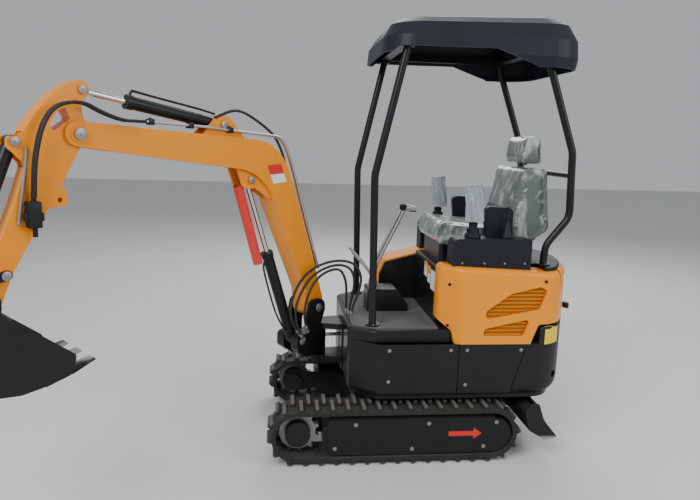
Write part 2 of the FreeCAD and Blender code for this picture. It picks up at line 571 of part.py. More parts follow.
# Pressed panels round the lower body: block, rounded foot, hollow, then the flange left standing
panels = body("lower_panels")
sides = body("side_panels")
for side in SIDES:
    y = "%d * (%%s)" % side
    inner_y = y % "0.4 * nose_half"
    outer = [("nose_x", y % "nose_half", 42), ("nose_cut", y % "body_half", 60), ("seam_x", y % "body_half"),
             ("seam_x", inner_y), ("nose_x", inner_y)]
    pad(panels, "XY", [outer], "deck_top", "belt_line")
    soften(panels, "panel_round", lambda box: level(box, "deck_top") and box.XMax > mm("seam_x") + 1
           and side * (box.YMin + box.YMax) / 2 > mm("0.4 * nose_half") + 1)
    room_y = y % "0.4 * nose_half - 1"
    for inset, low, high in (("3 * wall", "deck_top + wall", "deck_top + panel_round"),
                             ("wall", "deck_top + panel_round", "belt_line")):
        room = [("nose_x - %s" % inset, y % ("nose_half - 0.5 * %s" % inset), 22),
                ("nose_cut - 0.3 * %s" % inset, y % ("body_half - %s" % inset), 40),
                ("seam_x - 1", y % ("body_half - %s" % inset)), ("seam_x - 1", room_y),
                ("nose_x - %s" % inset, room_y)]
        cut(panels, "XY", [room], low, high)
    open_floor = [("nose_x - flange_wide", y % "nose_half - 0.5 * flange_wide"),
                  ("nose_cut - 0.3 * flange_wide", y % "body_half - flange_wide"),
                  ("seam_x - 1", y % "body_half - flange_wide"), ("seam_x - 1", room_y),
                  ("nose_x - flange_wide", room_y)]
    cut(panels, "XY", [open_floor], "deck_top", "deck_top + wall")

    bent = [(y % "body_half", "belt_line"), (y % "body_half", "deck_top", "panel_round"),
            (y % "body_half - flange_wide", "deck_top"), (y % "body_half - flange_wide", "deck_top + wall"),
            (y % "body_half - wall", "deck_top + wall", "panel_round - wall"),
            (y % "body_half - wall", "belt_line")]
    pad(sides, "YZ", [bent], "-weight_high_back + side_gap", "seam_x - side_gap")
    slant = [("-weight_low_back + side_gap", "deck_top - 1"), ("-weight_high_back + side_gap", "belt_line"),
             ("-weight_high_back", "belt_line"), ("-weight_high_back", "deck_top - 1")]
    cut(sides, "XZ", [slant], *span(side, "body_half - flange_wide - 1", "body_half + 1"))

# Counterweight: one casting with a rounded foot, open to the engine, and its lashing holes
weight = body("counterweight")
pad(weight, "XY", [tail("-weight_low_back", "0")], "deck_top", "belt_line")
soften(weight, "weight_round", lambda box: level(box, "deck_top") and box.XMin < mm("-weight_low_back") - 1)
pad(weight, "XY", [tail("-weight_low_back", "0")], "belt_line", "weight_top")
soften(weight, "10", lambda box: level(box, "weight_top") and box.XMin < mm("-weight_low_back") - 1)
step = rect("-weight_step_back", "-weight_low_back + 1", "-body_half - 1", "body_half + 1")
cut(weight, "XY", [step], "belt_line", "weight_top")
face = [("-weight_low_back", "deck_top - 1"), ("-weight_high_back", "belt_line"),
        ("-weight_low_back + 20", "belt_line"), ("-weight_low_back + 20", "deck_top - 1")]
cut(weight, "XZ", [face], "-body_half - 1", "body_half + 1")
cut(weight, "XY", [rect("-weight_step_back", "-weight_low_back + 1", "-0.7 * body_half", "0.7 * body_half")],
    "deck_top", "belt_line")
for side in SIDES:
    cut(weight, "XZ", [("-lash_back", "deck_top + lash_rise", "lash_round")],
        *span(side, "0.75 * body_half", "body_half + 1"))

# Floor, mat, seat riser and engine
floor = body("floor_deck")
floor_plan = [("nose_x", "-nose_half", 26), ("nose_x", "nose_half", 26), ("nose_cut + 20", "floor_half", 60),
              ("riser_x - 50", "floor_half"), ("riser_x - 50", "-floor_half"),
              ("nose_cut + 20", "-floor_half", 60)]
pad(floor, "XY", [floor_plan], "belt_line", "floor_top")
soften(floor, "14", lambda box: level(box, "floor_top") and box.XMax > mm("riser_x - 49"))
mat = body("floor_mat")
mat_plan = [("nose_x - 18", "-nose_half + 14", 20), ("nose_x - 18", "nose_half - 14", 20),
            ("nose_cut + 12", "floor_half - 20", 50), ("riser_x + 2", "floor_half - 20", 10),
            ("riser_x + 2", "right_y + 8"), ("right_nose + 1", "right_y + 8"),
            ("right_nose + 1", "-floor_half + 20"),
            ("nose_cut + 12", "-floor_half + 20", 50)]
pad(mat, "XY", [mat_plan], "floor_top", "mat_top")

riser = body("seat_riser")
pad(riser, "XY", [rect("riser_end", "riser_x", "-riser_right", "riser_left")], "floor_top", "riser_top")
soften(riser, "10", lambda box: level(box, "riser_top"))
cut(riser, "XY", [rect("riser_end + shell", "riser_x - shell", "-riser_right + shell", "riser_left - shell")],
    "floor_top", "riser_top - shell")
engine = body("engine_block")
pad(engine, "XY", [slab("riser_x - 100 - engine_long", "riser_x - 100", "-engine_half", "engine_half", 20)],
    "deck_top", "deck_top + engine_tall")

# Side hoods: the body's plan raised, then shaped by side views; vents are sunk from the side
hood_grid = ("-vent_back", "-vent_long", "belt_line", "hood_tall")
upper_vent = [(0.406, 0.32, 0.05), (0.42, 0.436, 0.05), (0.656, 0.656, 0.05), (0.946, 0.748, 0.04),
              (1.016, 0.698, 0.04), (0.946, 0.454, 0.05)]
lower_vent = [(0.398, 0.11, 0.03), (0.412, 0.202, 0.04), (0.866, 0.331, 0.04), (0.798, 0.108, 0.04)]
rear_side = [(0.876, -0.01), (0.948, 0.257, 0.05), (1.28, 0.257), (1.28, 0.646, 0.08), (1.19, 0.777, 0.08),
             (1.14, 1.01), (1.8, 1.01), (1.8, -0.01)]
grilles = body("hood_grilles")
hood = body("hood_left")
front_plan = [("hood_x", "hood_inner + 62", 45), ("seam_x", "body_half", 70)]
pad(hood, "XY", [front_plan + tail("0", "0")[1:-1] + [("hood_x", "-body_half")]], "belt_line", "hood_high")
top_wedge = [("hood_x", "hood_high"), ("apex_x", "hood_high - 1.667 * hood_fall"),
             ("apex_x", "hood_high + 1"),
             ("hood_x", "hood_high + 1")]
front_low = [("hood_x + 1", "belt_line + 110"), ("hood_x", "belt_line + 110", 8),
             ("hood_x - 65", "floor_top", 24),
             ("hood_x - 80", "belt_line - 1"), ("hood_x + 1", "belt_line - 1")]
cut(hood, "XZ", [top_wedge], "-body_half - 1", "body_half + 1")
soften(hood, "hood_round", lambda box: box.ZMin > mm("hood_low") - 8 and box.YMin > mm("hood_inner")
       and box.XMax > mm("corner_x"))
cut(hood, "XY", [rect("apex_x", "hood_x + 1", "-body_half - 1", "hood_inner")], "belt_line", "hood_high")
cut(hood, "XZ", [front_low], "hood_inner", "body_half + 1")
cut(hood, "XZ", [inside(*hood_grid, rear_side)], "hood_inner", "body_half + 1")
low_room = rect("-0.58 * apex_back", "seam_x - 14", "hood_inner", "body_half - hood_wall")
cut(hood, "XY", [low_room], "belt_line", "belt_line + 128")
high_room = [("seam_x - 14", "hood_inner"), ("seam_x - 14", "body_half - hood_wall"),
             ("-0.71 * apex_back", "body_half - hood_wall", 80), ("-0.71 * apex_back", "hood_inner")]
cut(hood, "XY", [high_room], "belt_line + 127", "hood_low - 15")

right = body("hood_right")
right_plan = [("right_nose", "-body_half", 60), ("right_nose", "body_half")] + tail("0", "0")[1:-1]
pad(right, "XY", [right_plan], "belt_line", "hood_high")
right_top = [("right_nose + 1", "belt_line + nose_rise"), ("right_nose", "belt_line + nose_rise"),
             ("-knee_back", "belt_line + knee_rise", 24), ("-crest_back", "belt_line + crest_rise", 30),
             ("hood_x - hood_long", "hood_low"), ("apex_x", "hood_low"),
             ("apex_x", "hood_high + 1"), ("right_nose + 1", "hood_high + 1")]
right_floor = [("right_nose + 1", "belt_line - 1"), ("right_nose + 1", "mat_top"), ("hood_x - 65", "mat_top"),
               ("hood_x - 80", "belt_line - 1")]
cut(right, "XZ", [right_top], "-body_half - 1", "body_half + 1")
soften(right, "0.5 * hood_round", lambda box: box.ZMin > mm("hood_low") - 1 and box.YMax < mm("right_y")
       and box.XMax > mm("corner_x"))
cut(right, "XY", [rect("apex_x", "right_nose + 1", "right_y", "body_half + 1")], "belt_line", "hood_high")
cut(right, "XZ", [right_floor], "-body_half - 1", "right_y")
cut(right, "XZ", [inside(*hood_grid, rear_side)], "-body_half - 1", "right_y")
cut(right, "XY", [rect("-0.58 * apex_back", "seam_x - 14", "-body_half + hood_wall", "right_y")],
    "belt_line", "belt_line + 128")
right_room = [("-60", "right_y"), ("-60", "-body_half + hood_wall"),
              ("-0.71 * apex_back", "-body_half + hood_wall", 110), ("-0.71 * apex_back", "right_y")]
cut(right, "XY", [right_room], "belt_line + 127", "belt_line + 250")
for side, item in ((1, hood), (-1, right)):
    for vent, count in ((upper_vent, 9), (lower_vent, 5)):
        cut(item, "XZ", [inside(*hood_grid, vent)], *span(side, "body_half - vent_deep", "body_half + 1"))
        middle_a, middle_b = (sum(corner[k] for corner in vent) / len(vent) for k in (0, 1))
        small = [(middle_a + 0.96 * (a - middle_a), middle_b + 0.94 * (b - middle_b), r) for a, b, r in vent]
        small = [tuple(round(v, 4) for v in corner) for corner in small]
        pad(grilles, "XZ", [inside(*hood_grid, small)],
            *span(side, "body_half - vent_deep + skin_gap", "body_half - 10"))
        base = "belt_line + %s * hood_tall + 10" % vent[0][1]
        slot = rect("-0.7 * apex_back", "-0.35 * apex_back", base, base + " + slat_gap")
        first_slot = cut(grilles, "XZ", [slot], *span(side, "body_half - vent_deep + 4", "body_half"))
        repeat(grilles, "Linear", first_slot, "V_Axis", str(count), "%d * slat_step" % (count - 1))
inner_panel = body("inner_panel")
panel_view = [("right_nose - 6", "mat_top + 1"), ("right_nose - 6", "belt_line + nose_rise - 5", 8),
              ("-knee_back - 6", "belt_line + knee_rise - 7", 20),
              ("-crest_back - 1", "belt_line + crest_rise - 7", 26),
              ("riser_end", "hood_low - 10"), ("riser_end", "mat_top + 1")]
pad(inner_panel, "XZ", [panel_view], "right_y", "right_y + wall")

# Rear bonnet behind the hoods, with its lid
bonnet = body("rear_bonnet")
pad(bonnet, "XY", [tail("-weight_low_back", "0")], "weight_top + side_gap", "hood_low")
soften(bonnet, "hood_round", lambda box: level(box, "hood_low") and box.XMin < mm("-weight_low_back") - 1)
cut(bonnet, "XY", [rect("hood_x - hood_long", "-weight_low_back + 1", "-body_half - 1", "body_half + 1")],
    "weight_top + side_gap", "hood_low")
seam = [(1.0, 0.2), (1.288, 0.2), (1.288, 0.652, 0.08), (1.198, 0.787, 0.08), (1.148, 1.02), (1.0, 1.02)]
cut(bonnet, "XZ", [inside(*hood_grid, seam)], "hood_inner - side_gap", "body_half + 1")
cut(bonnet, "XZ", [inside(*hood_grid, seam)], "-body_half - 1", "right_y + side_gap")
cut(bonnet, "XY", [tail("-weight_low_back", "bonnet_wall + 0.5 * hood_round")],
    "weight_top + side_gap", "hood_low - bonnet_wall")
lid = body("bonnet_top")
pad(lid, "XY", [tail("-weight_low_back", "hood_round + 8")], "lid_low", "lid_top")
for side, y in ((1, "hood_inner"), (-1, "right_in")):
    strip = rect("hood_x - hood_long", "-weight_low_back + 1", *span(side, "%s - side_gap" % y, "body_half"))
    cut(lid, "XY", [strip], "lid_low", "lid_top")
cut(lid, "XY", [rect("riser_end - side_gap", "-weight_low_back + 1", "-body_half", "body_half")],
    "lid_low", "lid_top")
soften(lid, "8", lambda box: level(box, "lid_top"))

# Consoles beside the seat with their levers, rests and boots
console = body("consoles")
lever = body("joysticks")
for side in SIDES:
    wide = span(side, "console_y", "console_y + console_wide")
    if side > 0:
        foot = [("console_end", "hood_low + 3.9"), ("console_x", "hood_high - 1.6")]
    else:
        foot = [("console_end", "hood_low - 1.2"), ("-crest_back - 1", "belt_line + crest_rise + 0.6"),
                ("console_x", "belt_line + crest_rise - 4")]
    crown = [("console_x", "console_top", "console_round"), ("console_end", "console_top", 14)]
    pad(console, "XZ", [foot + crown], *wide)
    rest = [("-rest_back - 70", "console_top - 1"), ("-rest_back + 60", "console_top - 1", 10),
            ("-rest_back + 76", "console_top + 150", 30), ("-rest_back - 70", "console_top + 140", 26)]
    pad(console, "XZ", [rest], *span(side, "console_y - 24", "console_y + 14"))
    y = "%d * control_y" % side
    boot = [("0", "console_top"), ("boot_round", "console_top", 4),
            ("0.95 * boot_round", "console_top + 18", 6),
            ("0.72 * boot_round", "console_top + 26", 3), ("0.8 * boot_round", "console_top + 42", 6),
            ("0.5 * boot_round", "console_top + 52", 3), ("0.58 * boot_round", "console_top + 68", 5),
            ("0.25 * boot_round", "console_top + 82")]
    grip = [("0.25 * boot_round", "console_top + 0.55 * grip_tall"),
            ("0.5 * boot_round", "console_top + 0.58 * grip_tall", 6),
            ("0.42 * boot_round", "console_top + 0.8 * grip_tall", 20),
            ("0.6 * boot_round", "console_top + 0.93 * grip_tall", 10),
            ("0.45 * boot_round", "console_top + grip_tall", 8), ("0", "console_top + grip_tall")]
    spin(lever, "stick_x", y, boot + grip)
spin(lever, "-rod_back", "control_y",
     [("0", "console_top"), ("0.75 * boot_round", "console_top", 4),
      ("0.2 * boot_round", "console_top + 76", 8),
      ("0.15 * boot_round", "console_top + 150", 3), ("0", "console_top + 153")])

# Seat
base = body("seat_base")
pad(base, "XY", [slab("-seat_rear + 16", "riser_x - 35", "-seat_half + 35", "seat_half - 35", 20)],
    "riser_top", "riser_top + seat_rise")
cushion = body("seat_cushion")
pad(cushion, "XZ", [[("riser_x - 25", "riser_top + seat_rise", 16),
                     ("riser_x + 2", "riser_top + seat_rise + 50", 24),
                     ("riser_x - 14", "riser_top + seat_rise + 108", 30),
                     ("-seat_rear + 56", "riser_top + seat_rise + 86", 40),
                     ("-seat_rear", "riser_top + seat_rise + 100", 12),
                     ("-seat_rear", "riser_top + seat_rise", 12)]],
    "-seat_half", "seat_half")
backrest = body("seat_back")
pad(backrest, "XZ", [[("-seat_rear - skin_gap", "riser_top + seat_rise + 10", 10),
                      ("-seat_rear - skin_gap", "riser_top + seat_rise + 95", 60),
                      ("-seat_rear - 12", "riser_top + seat_rise + 187", 90),
                      ("-seat_rear - 69", "riser_top + seat_rise + 399", 34),
                      ("-seat_rear - 192", "riser_top + seat_rise + 401", 36),
                      ("-seat_rear - 226", "riser_top + seat_rise + 80", 60),
                      ("-seat_rear - 124", "riser_top + seat_rise + 10",
                       40)]], "-seat_half + 10", "seat_half - 10")
headrest = body("headrest")
pad(headrest, "XZ", [[("-seat_rear - 90", "riser_top + seat_rise + 412", 16),
                      ("-seat_rear - 79", "riser_top + seat_rise + 450", 24),
                      ("-seat_rear - 92", "riser_top + seat_rise + 548", 30),
                      ("-seat_rear - 176", "riser_top + seat_rise + 552", 30),
                      ("-seat_rear - 192", "riser_top + seat_rise + 412",
                       20)]], "-seat_half + 100", "seat_half - 100")
for y in ("-50", "50"):
    pad(headrest, "XY", [("-seat_rear - 130", y, "7")], "riser_top + seat_rise + 400.3",
        "riser_top + seat_rise + 414")

# Travel levers on their floor bracket
controls = body("travel_controls")
pad(controls, "XZ", [[("-106", "mat_top"), ("112", "mat_top"), ("112", "mat_top + 118", 12),
                      ("-50", "mat_top + 118", 30),
                      ("-106", "mat_top + 34", 16)]], "-72", "72")
levers = []
for y in (-mm("lever_y"), mm("lever_y")):
    z = mm("mat_top")
    r = mm("lever_round")
    run = [(86, y, z + 118), (86, y, z + 135), (61, y, z + 251), (-76, y, z + 543), (-106, y, z + 541)]
    knob = [(-100, y, z + 541.2), (-118, y, z + 540.6), (-134, y, z + 540)]
    levers.append(tube(run, r, 18).fuse(tube(knob, 1.8 * r, 30)))
    pedal = [(50, 1.6 * y, z + 118), (50, 1.6 * y, z + 134), (121, 1.6 * y, z + 233), (198, 1.6 * y, z + 318)]
    levers.append(tube(pedal, r, 30))
shaped("travel_levers", Part.makeCompound(levers))

# Canopy: bent posts with their foot plates and cross bar, roof shell and the frame inside it
posts = []
for side in SIDES:
    y = side * mm("post_y")
    top = mm("post_top")
    front = tube([(mm("front_foot_x"), y, mm("mat_top") + 4),
                  (mm("front_bend_x"), y, mm("mat_top + front_bend_rise")),
                  (mm("front_top_x"), y, top)], mm("post_round"), 160)
    rear = tube([(-mm("rear_foot_back"), y, mm("lid_top") + 4),
                 (-mm("rear_foot_back") - 6, y, mm("lid_top") + 99),
                 (-mm("rear_bend_back"), y, mm("lid_top") + 239),
                 (-mm("rear_bend_back") + 12, y, mm("lid_top") + 554),
                 (-mm("rear_top_back"), y, top)], mm("post_round"), 100)
    for pipe, x, low in ((front, mm("front_foot_x"), mm("mat_top")),
                         (rear, -mm("rear_foot_back"), mm("lid_top"))):
        foot = Part.makeCylinder(mm("foot_round"), mm("foot_thick"), FreeCAD.Vector(x, y, low))
        head_x = mm("front_top_x") if x > 0 else -mm("rear_top_back")
        head = Part.makeCylinder(mm("foot_round") - 4, 14, FreeCAD.Vector(head_x, y, top - 4))
        posts.append(pipe.multiFuse([foot, head]))
bar = Part.makeCylinder(mm("bar_round"), 2 * mm("post_y"),
                        FreeCAD.Vector(-mm("rear_bend_back") + 8, -mm("post_y"), mm("mat_top + bar_rise")),
                        FreeCAD.Vector(0, 1, 0))
shaped("canopy_posts", posts[0].multiFuse(posts[1:] + [bar]))


def round_rect(x0, x1, y0, y1, r, z, tilt):
    """Closed wire of a rectangle with round corners, higher toward the rear by the tilt."""
    corners = []
    for cx, cy, turn in ((x1 - r, y1 - r, 0), (x0 + r, y1 - r, 90), (x0 + r, y0 + r, 180),
                         (x1 - r, y0 + r, 270)):
        arc = []
        for step in (0, 45, 90):
            a = math.radians(turn + step)
            x, y = cx + r * math.cos(a), cy + r * math.sin(a)
            arc.append(FreeCAD.Vector(x, y, z + tilt * (x1 - x)))
        corners.append(arc)
    edges = []
    for i, arc in enumerate(corners):
        edges.append(Part.Arc(*arc).toShape())
        edges.append(Part.makeLine(arc[2], corners[(i + 1) % 4][0]))
    return Part.Wire(edges)


# share of the roof's height, how far the wall has come in, share of the tilt
ROOF_LEVELS = ((0, 8, 0), (0.2, 0, 0), (0.5, 6, 0.3), (0.75, 42, 0.8), (0.87, 90, 1), (0.93, 150, 1))


def roof_shell(drop):
    """The roof as a solid, made smaller by the drop on all sides."""
    wires = []
    for share, come_in, lean in ROOF_LEVELS:
        i = come_in + drop
        front, half = mm("roof_front"), mm("roof_half")
        wires.append(round_rect(front - mm("roof_long") + i, front - i, i - half, half - i,
                                mm("roof_round") - 0.4 * i, mm("roof_low") + share * mm("roof_tall") - drop,
                                lean * mm("roof_tilt")))
    return Part.makeLoft(wires, True, True)


lip = [(200, 0), (200, 46), (70, 50), (45, 70), (-405, 74), (-600, 6), (-600, 0)]
lip_wire = Part.makePolygon([FreeCAD.Vector(x, -500, mm("roof_low") + z - 1) for x, z in lip + lip[:1]])
lip_cut = Part.Face(lip_wire).extrude(FreeCAD.Vector(0, 1000, 0))
shaped("canopy_roof", roof_shell(0).cut(roof_shell(mm("roof_wall"))).cut(lip_cut))
beams = []
post_y, thick, start = mm("post_y"), mm("beam_thick"), mm("post_top") + 10
room = roof_shell(mm("roof_wall + fit_gap"))
for x in (mm("front_top_x"), -mm("rear_top_back")):
    beams.append(Part.makeBox(50, 2 * post_y + 50, thick, FreeCAD.Vector(x - 25, -post_y - 25, start)))
    for side in SIDES:
        beams.append(Part.makeBox(40, 36, 110, FreeCAD.Vector(x - 20, side * post_y - 18, start)))
for side in SIDES:
    long = mm("front_top_x + rear_top_back")
    beams.append(Part.makeBox(long, 36, thick,
                              FreeCAD.Vector(-mm("rear_top_back"), side * post_y - 18, start)))
shaped("roof_frame", beams[0].multiFuse(beams[1:]).removeSplitter().common(room))

# Swing post: hub on the king pin, cheeks up to the boom foot, fork of the lift ram, ear of the swing ram
post = body("swing_post", turn=True)
pad(post, "XY", [("0", "0", "hub_wide")], "hub_low", "hub_low + hub_tall")
pad(post, "XY", [("0", "0", "king_round")], "lug_low - 6", "lug_high + 6")
pad(post, "XZ", [rect("0", "70", "hub_low + 20", "hub_low + 130")], "-58", "58")
chest = [("foot_u - 17", "hub_low + 20"), ("foot_u + 75", "hub_low + 20", 20),
         ("lift_foot_u + 28", "lift_foot_z - 46", 30),
         ("lift_foot_u + 28", "lift_foot_z + 28", 26), ("lift_foot_u - 20", "lift_foot_z + 34", 20),
         ("foot_u + 20", "hub_low + 130"), ("foot_u - 17", "hub_low + 130")]
pad(post, "XZ", [chest], "-post_half", "post_half")
cheek = [("foot_u - 20", "hub_low + 40"), ("foot_u + 55", "hub_low + 40"), ("foot_u + 75", "foot_z - 60", 60),
         ("foot_u + 50", "foot_z + 46", 42), ("foot_u - 48", "foot_z + 46", 42),
         ("foot_u - 50", "foot_z - 20", 30),
         ("foot_u - 20", "foot_z - 90", 30)]
for side in SIDES:
    pad(post, "XZ", [cheek], *span(side, "post_half - cheek_thick", "post_half"))
fork = [("foot_u + 45", "hub_low - 30"), ("lift_foot_u + 45", "hub_low - 30"),
        ("lift_foot_u + 45", "foot_z - 60"),
        ("foot_u + 45", "foot_z - 60")]
cut(post, "XZ", [fork], "-lift_slot", "lift_slot")
pad(post, "XZ", [("foot_u", "foot_z", "pin_round")], "-post_half - 4", "post_half + 4")
pad(post, "XZ", [("lift_foot_u", "lift_foot_z", "thin_pin")], "-post_half - 4", "post_half + 4")
swing_ear = [("-hub_wide + 20", "-20"), ("-24", "-124", 22), ("24", "-124", 22), ("hub_wide", "-20")]
for low, high in (("ram_level - swing_slot - ear_thick", "ram_level - swing_slot"),
                  ("ram_level + swing_slot", "ram_level + swing_slot + ear_thick")):
    pad(post, "XY", [swing_ear], low, high)

# Boom: bent box with foot, lugs for both rams, the fork of the elbow and its bosses
boom = body("boom", turn=True)
boom_view = [(0.1, 0.1253), (-0.0105, 0.0451, 0.02), (-0.0481, -0.0076, 0.0305), (0.0063, -0.0463, 0.0305),
             (0.0748, 0.0287), (0.4652, 0.2543, 0.17), (1.0105, -0.0404, 0.03), (1.0456, 0.0089, 0.03),
             (0.4635, 0.3717, 0.16)]
pad(boom, "XZ", [between("foot", "elbow", boom_view), ("foot_u", "foot_z", "pin_round + fit_gap")],
    "-boom_half", "boom_half")
recess = [(0.4055, 0.188), (0.4577, 0.2554, 0.0136), (0.4989, 0.2604, 0.0136), (0.5722, 0.2166, 0.0136),
          (0.511, 0.113)]
cut(boom, "XZ", [between("foot", "elbow", recess)], "-lift_slot", "lift_slot")
slot = [(0.9056, -0.0557), (0.9, 0.04, 0.02), (0.96, 0.12, 0.02), (1.1147, 0.1), (1.1147, -0.15)]
cut(boom, "XZ", [between("foot", "elbow", slot)], "-fork_in", "fork_in")
lift_lug = [(0.3735, 0.2041), (0.4554, 0.1994, 0.0136), (0.4929, 0.171, 0.0232), (0.5568, 0.2125),
            (0.4838, 0.2745)]
crowd_lug = [(0.5764, 0.2989), (0.6639, 0.3185, 0.0204), (0.6973, 0.2948, 0.0204), (0.708, 0.2195)]
for side in SIDES:
    pad(boom, "XZ", [between("foot", "elbow", lift_lug)], *span(side, "lift_slot", "lift_slot + ear_thick"))
    pad(boom, "XZ", [between("foot", "elbow", crowd_lug)],
        *span(side, "crowd_slot", "crowd_slot + ear_thick"))
    pad(boom, "XZ", [("elbow_u", "elbow_z", "2.1 * pin_round")],
        *span(side, "boom_half", "boom_half + boss_out"))
    pad(boom, "XZ", [("lift_eye_u", "lift_eye_z", "thin_pin")],
        *span(side, "lift_slot", "lift_slot + ear_thick + boss_out"))
pad(boom, "XZ", [("elbow_u", "elbow_z", "pin_round")], "-boom_half - 12", "boom_half + 12")
pad(boom, "XZ", [("crowd_foot_u", "crowd_foot_z", "thin_pin")], "-crowd_slot - ear_thick - boss_out",
    "crowd_slot + ear_thick + boss_out")

# Stick: plate box with horn, window, hook plate and the slots of both ram eyes
stick = body("stick", turn=True)
stick_view = [(-0.1541, 0.053, 0.02), (-0.2473, 0.0396, 0.036), (-0.2837, 0.0976, 0.036),
              (-0.2286, 0.1596, 0.06), (-0.1246, 0.2048, 0.08), (0.0219, 0.24, 0.08),
              (0.1564, 0.2475, 0.016), (0.1926, 0.3064, 0.018), (0.2427, 0.2854, 0.02),
              (0.2773, 0.1564, 0.036), (0.4991, 0.1172), (1.0957, 0.0549, 0.056),
              (1.0323, -0.0591, 0.05), (0.8321, -0.0336, 0.22), (0.427, -0.0435, 0.015),
              (0.3774, -0.1326, 0.021), (0.31, -0.0934, 0.03), (0.2898, -0.0496, 0.012),
              (0.0469, -0.0484, 0.08), (-0.0028, -0.0636, 0.025), (-0.0652, -0.0341, 0.03),
              (-0.0981, 0.0117, 0.04)]
window = [(-0.0973, 0.1244, 0.015), (-0.0545, 0.0594, 0.015), (0.0554, 0.115, 0.015), (0.0312, 0.1456, 0.012),
          (-0.0453, 0.1469, 0.015)]
pad(stick, "XZ", [between("elbow", "tip", stick_view), between("elbow", "tip", window),
                  ("elbow_u", "elbow_z", "pin_round + fit_gap"), ("tip_u", "tip_z", "pin_round + fit_gap")],
    "-stick_half", "stick_half")
cut(stick, "XZ", [("hook_u", "hook_z", "hook_round")], "-stick_half - 1", "stick_half + 1")
horn_slot = [(-0.2126, -0.0276), (-0.1449, 0.0788), (-0.2788, 0.1773), (-0.3502, 0.0488)]
curl_view = [(0.1331, 0.2365), (0.2161, 0.2006, 0.03), (0.2889, 0.1465), (0.3763, 0.3037), (0.1798, 0.413),
             (0.0997, 0.2997)]
cut(stick, "XZ", [between("elbow", "tip", horn_slot)], "-crowd_slot", "crowd_slot")
cut(stick, "XZ", [between("elbow", "tip", curl_view)], "-curl_slot", "curl_slot")
pad(stick, "XZ", [("curl_foot_u", "curl_foot_z", "thin_pin")], "-stick_half - boss_out",
    "stick_half + boss_out")
pad(stick, "XZ", [("rock_u", "rock_z", "thin_pin")], "-fork_in - plate_out - 2", "fork_in + plate_out + 2")
for side in SIDES:
    pad(stick, "XZ", [("rock_u", "rock_z", "2 * thin_pin")], *span(side, "stick_half", "fork_in - 0.5"))
    pad(stick, "XZ", [("crowd_eye_u", "crowd_eye_z", "thin_pin")],
        *span(side, "crowd_slot + 2", "stick_half + boss_out"))

# Rocker and link of the bucket: round-ended plates in pairs
rocker = body("rocker", turn=True)
link = body("bucket_link", turn=True)
rocker_view = [(-0.15, -0.125, 0.12), (1.135, -0.125, 0.12), (1.135, 0.125, 0.12), (-0.15, 0.125, 0.12)]
link_view = [(-0.16, -0.16, 0.15), (1.14, -0.14, 0.13), (1.14, 0.14, 0.13), (-0.16, 0.16, 0.15)]
for side in SIDES:
    plate = span(side, "fork_in", "fork_in + plate_out")
    pad(rocker, "XZ", [between("rock", "rock_eye", rocker_view),
                       ("rock_u", "rock_z", "thin_pin + fit_gap")], *plate)
    pad(rocker, "XZ", [("rock_eye_u", "rock_eye_z", "thin_pin")],
        *span(side, "fork_in + plate_out", "fork_in + 2 * plate_out + 8"))
    plate = span(side, "fork_in + plate_out + 3.5", "fork_in + 2 * plate_out + 3.5")
    pad(link, "XZ", [between("rock_eye", "ear", link_view),
                     ("rock_eye_u", "rock_eye_z", "thin_pin + fit_gap")], *plate)
    pad(link, "XZ", [("ear_u", "ear_z", "thin_pin + 4")],
        *span(side, "fork_in + 2 * plate_out + 3.5", "fork_in + 2 * plate_out + 8"))

# Bucket: curved shell between side plates, lip, teeth and ears
bucket = body("bucket", turn=True)
bowl = ("tip_u - 237", "364", "tip_z - 309", "275")
bucket_out = [(0.571, 1, 0.04), (0.442, 0.844, 0.03), (0, 0.371, 0.07), (0.033, 0.153, 0.03), (0.085, 0.109),
              (0.302, 0.033, 0.3), (0.533, -0.007, 0.4), (0.775, 0.033, 0.3), (0.973, 0.171, 0.24),
              (1, 0.385, 0.2),
              (0.912, 0.556, 0.14)]
bucket_in = [(-0.05, 0.205), (0.093, 0.147), (0.308, 0.069, 0.28), (0.533, 0.031, 0.38), (0.764, 0.069, 0.27),
             (0.948, 0.193, 0.2), (0.971, 0.382, 0.17), (0.89, 0.531, 0.11), (0.549, 0.973), (0.445, 1.095),
             (-0.08, 0.513)]
pad(bucket, "XZ", [inside(*bowl, bucket_out)], "-bucket_half", "bucket_half")
cut(bucket, "XZ", [inside(*bowl, bucket_in)], "-bucket_half + bucket_wall", "bucket_half - bucket_wall")
lip_view = [(0.027, 0.168, 0.01), (0.077, 0.105, 0.01), (0.308, 0.024), (0.319, 0.078), (0.104, 0.156)]
pad(bucket, "XZ", [inside(*bowl, lip_view)], "-bucket_half", "bucket_half")
tooth_view = [(0.129, 0.091), (0.113, 0.16), (0.033, 0.193), (-0.203, 0.251, 0.006), (-0.212, 0.229, 0.006),
              (0.022, 0.098)]
for y in ("-tooth_step", "0", "tooth_step"):
    pad(bucket, "XZ", [inside(*bowl, tooth_view)], y + " - tooth_half", y + " + tooth_half")
ear_view = [(0.571, 1.229, 0.09), (0.706, 1.229, 0.09), (0.931, 1, 0.09), (0.94, 0.8, 0.1), (0.918, 0.567),
            (0.698, 0.822), (0.571, 1.015, 0.1)]
for side in SIDES:
    pad(bucket, "XZ", [inside(*bowl, ear_view)], *span(side, "fork_in", "fork_in + plate_out + 1.5"))
pad(bucket, "XZ", [("tip_u", "tip_z", "pin_round")], "-fork_in - plate_out - 2", "fork_in + plate_out + 2")

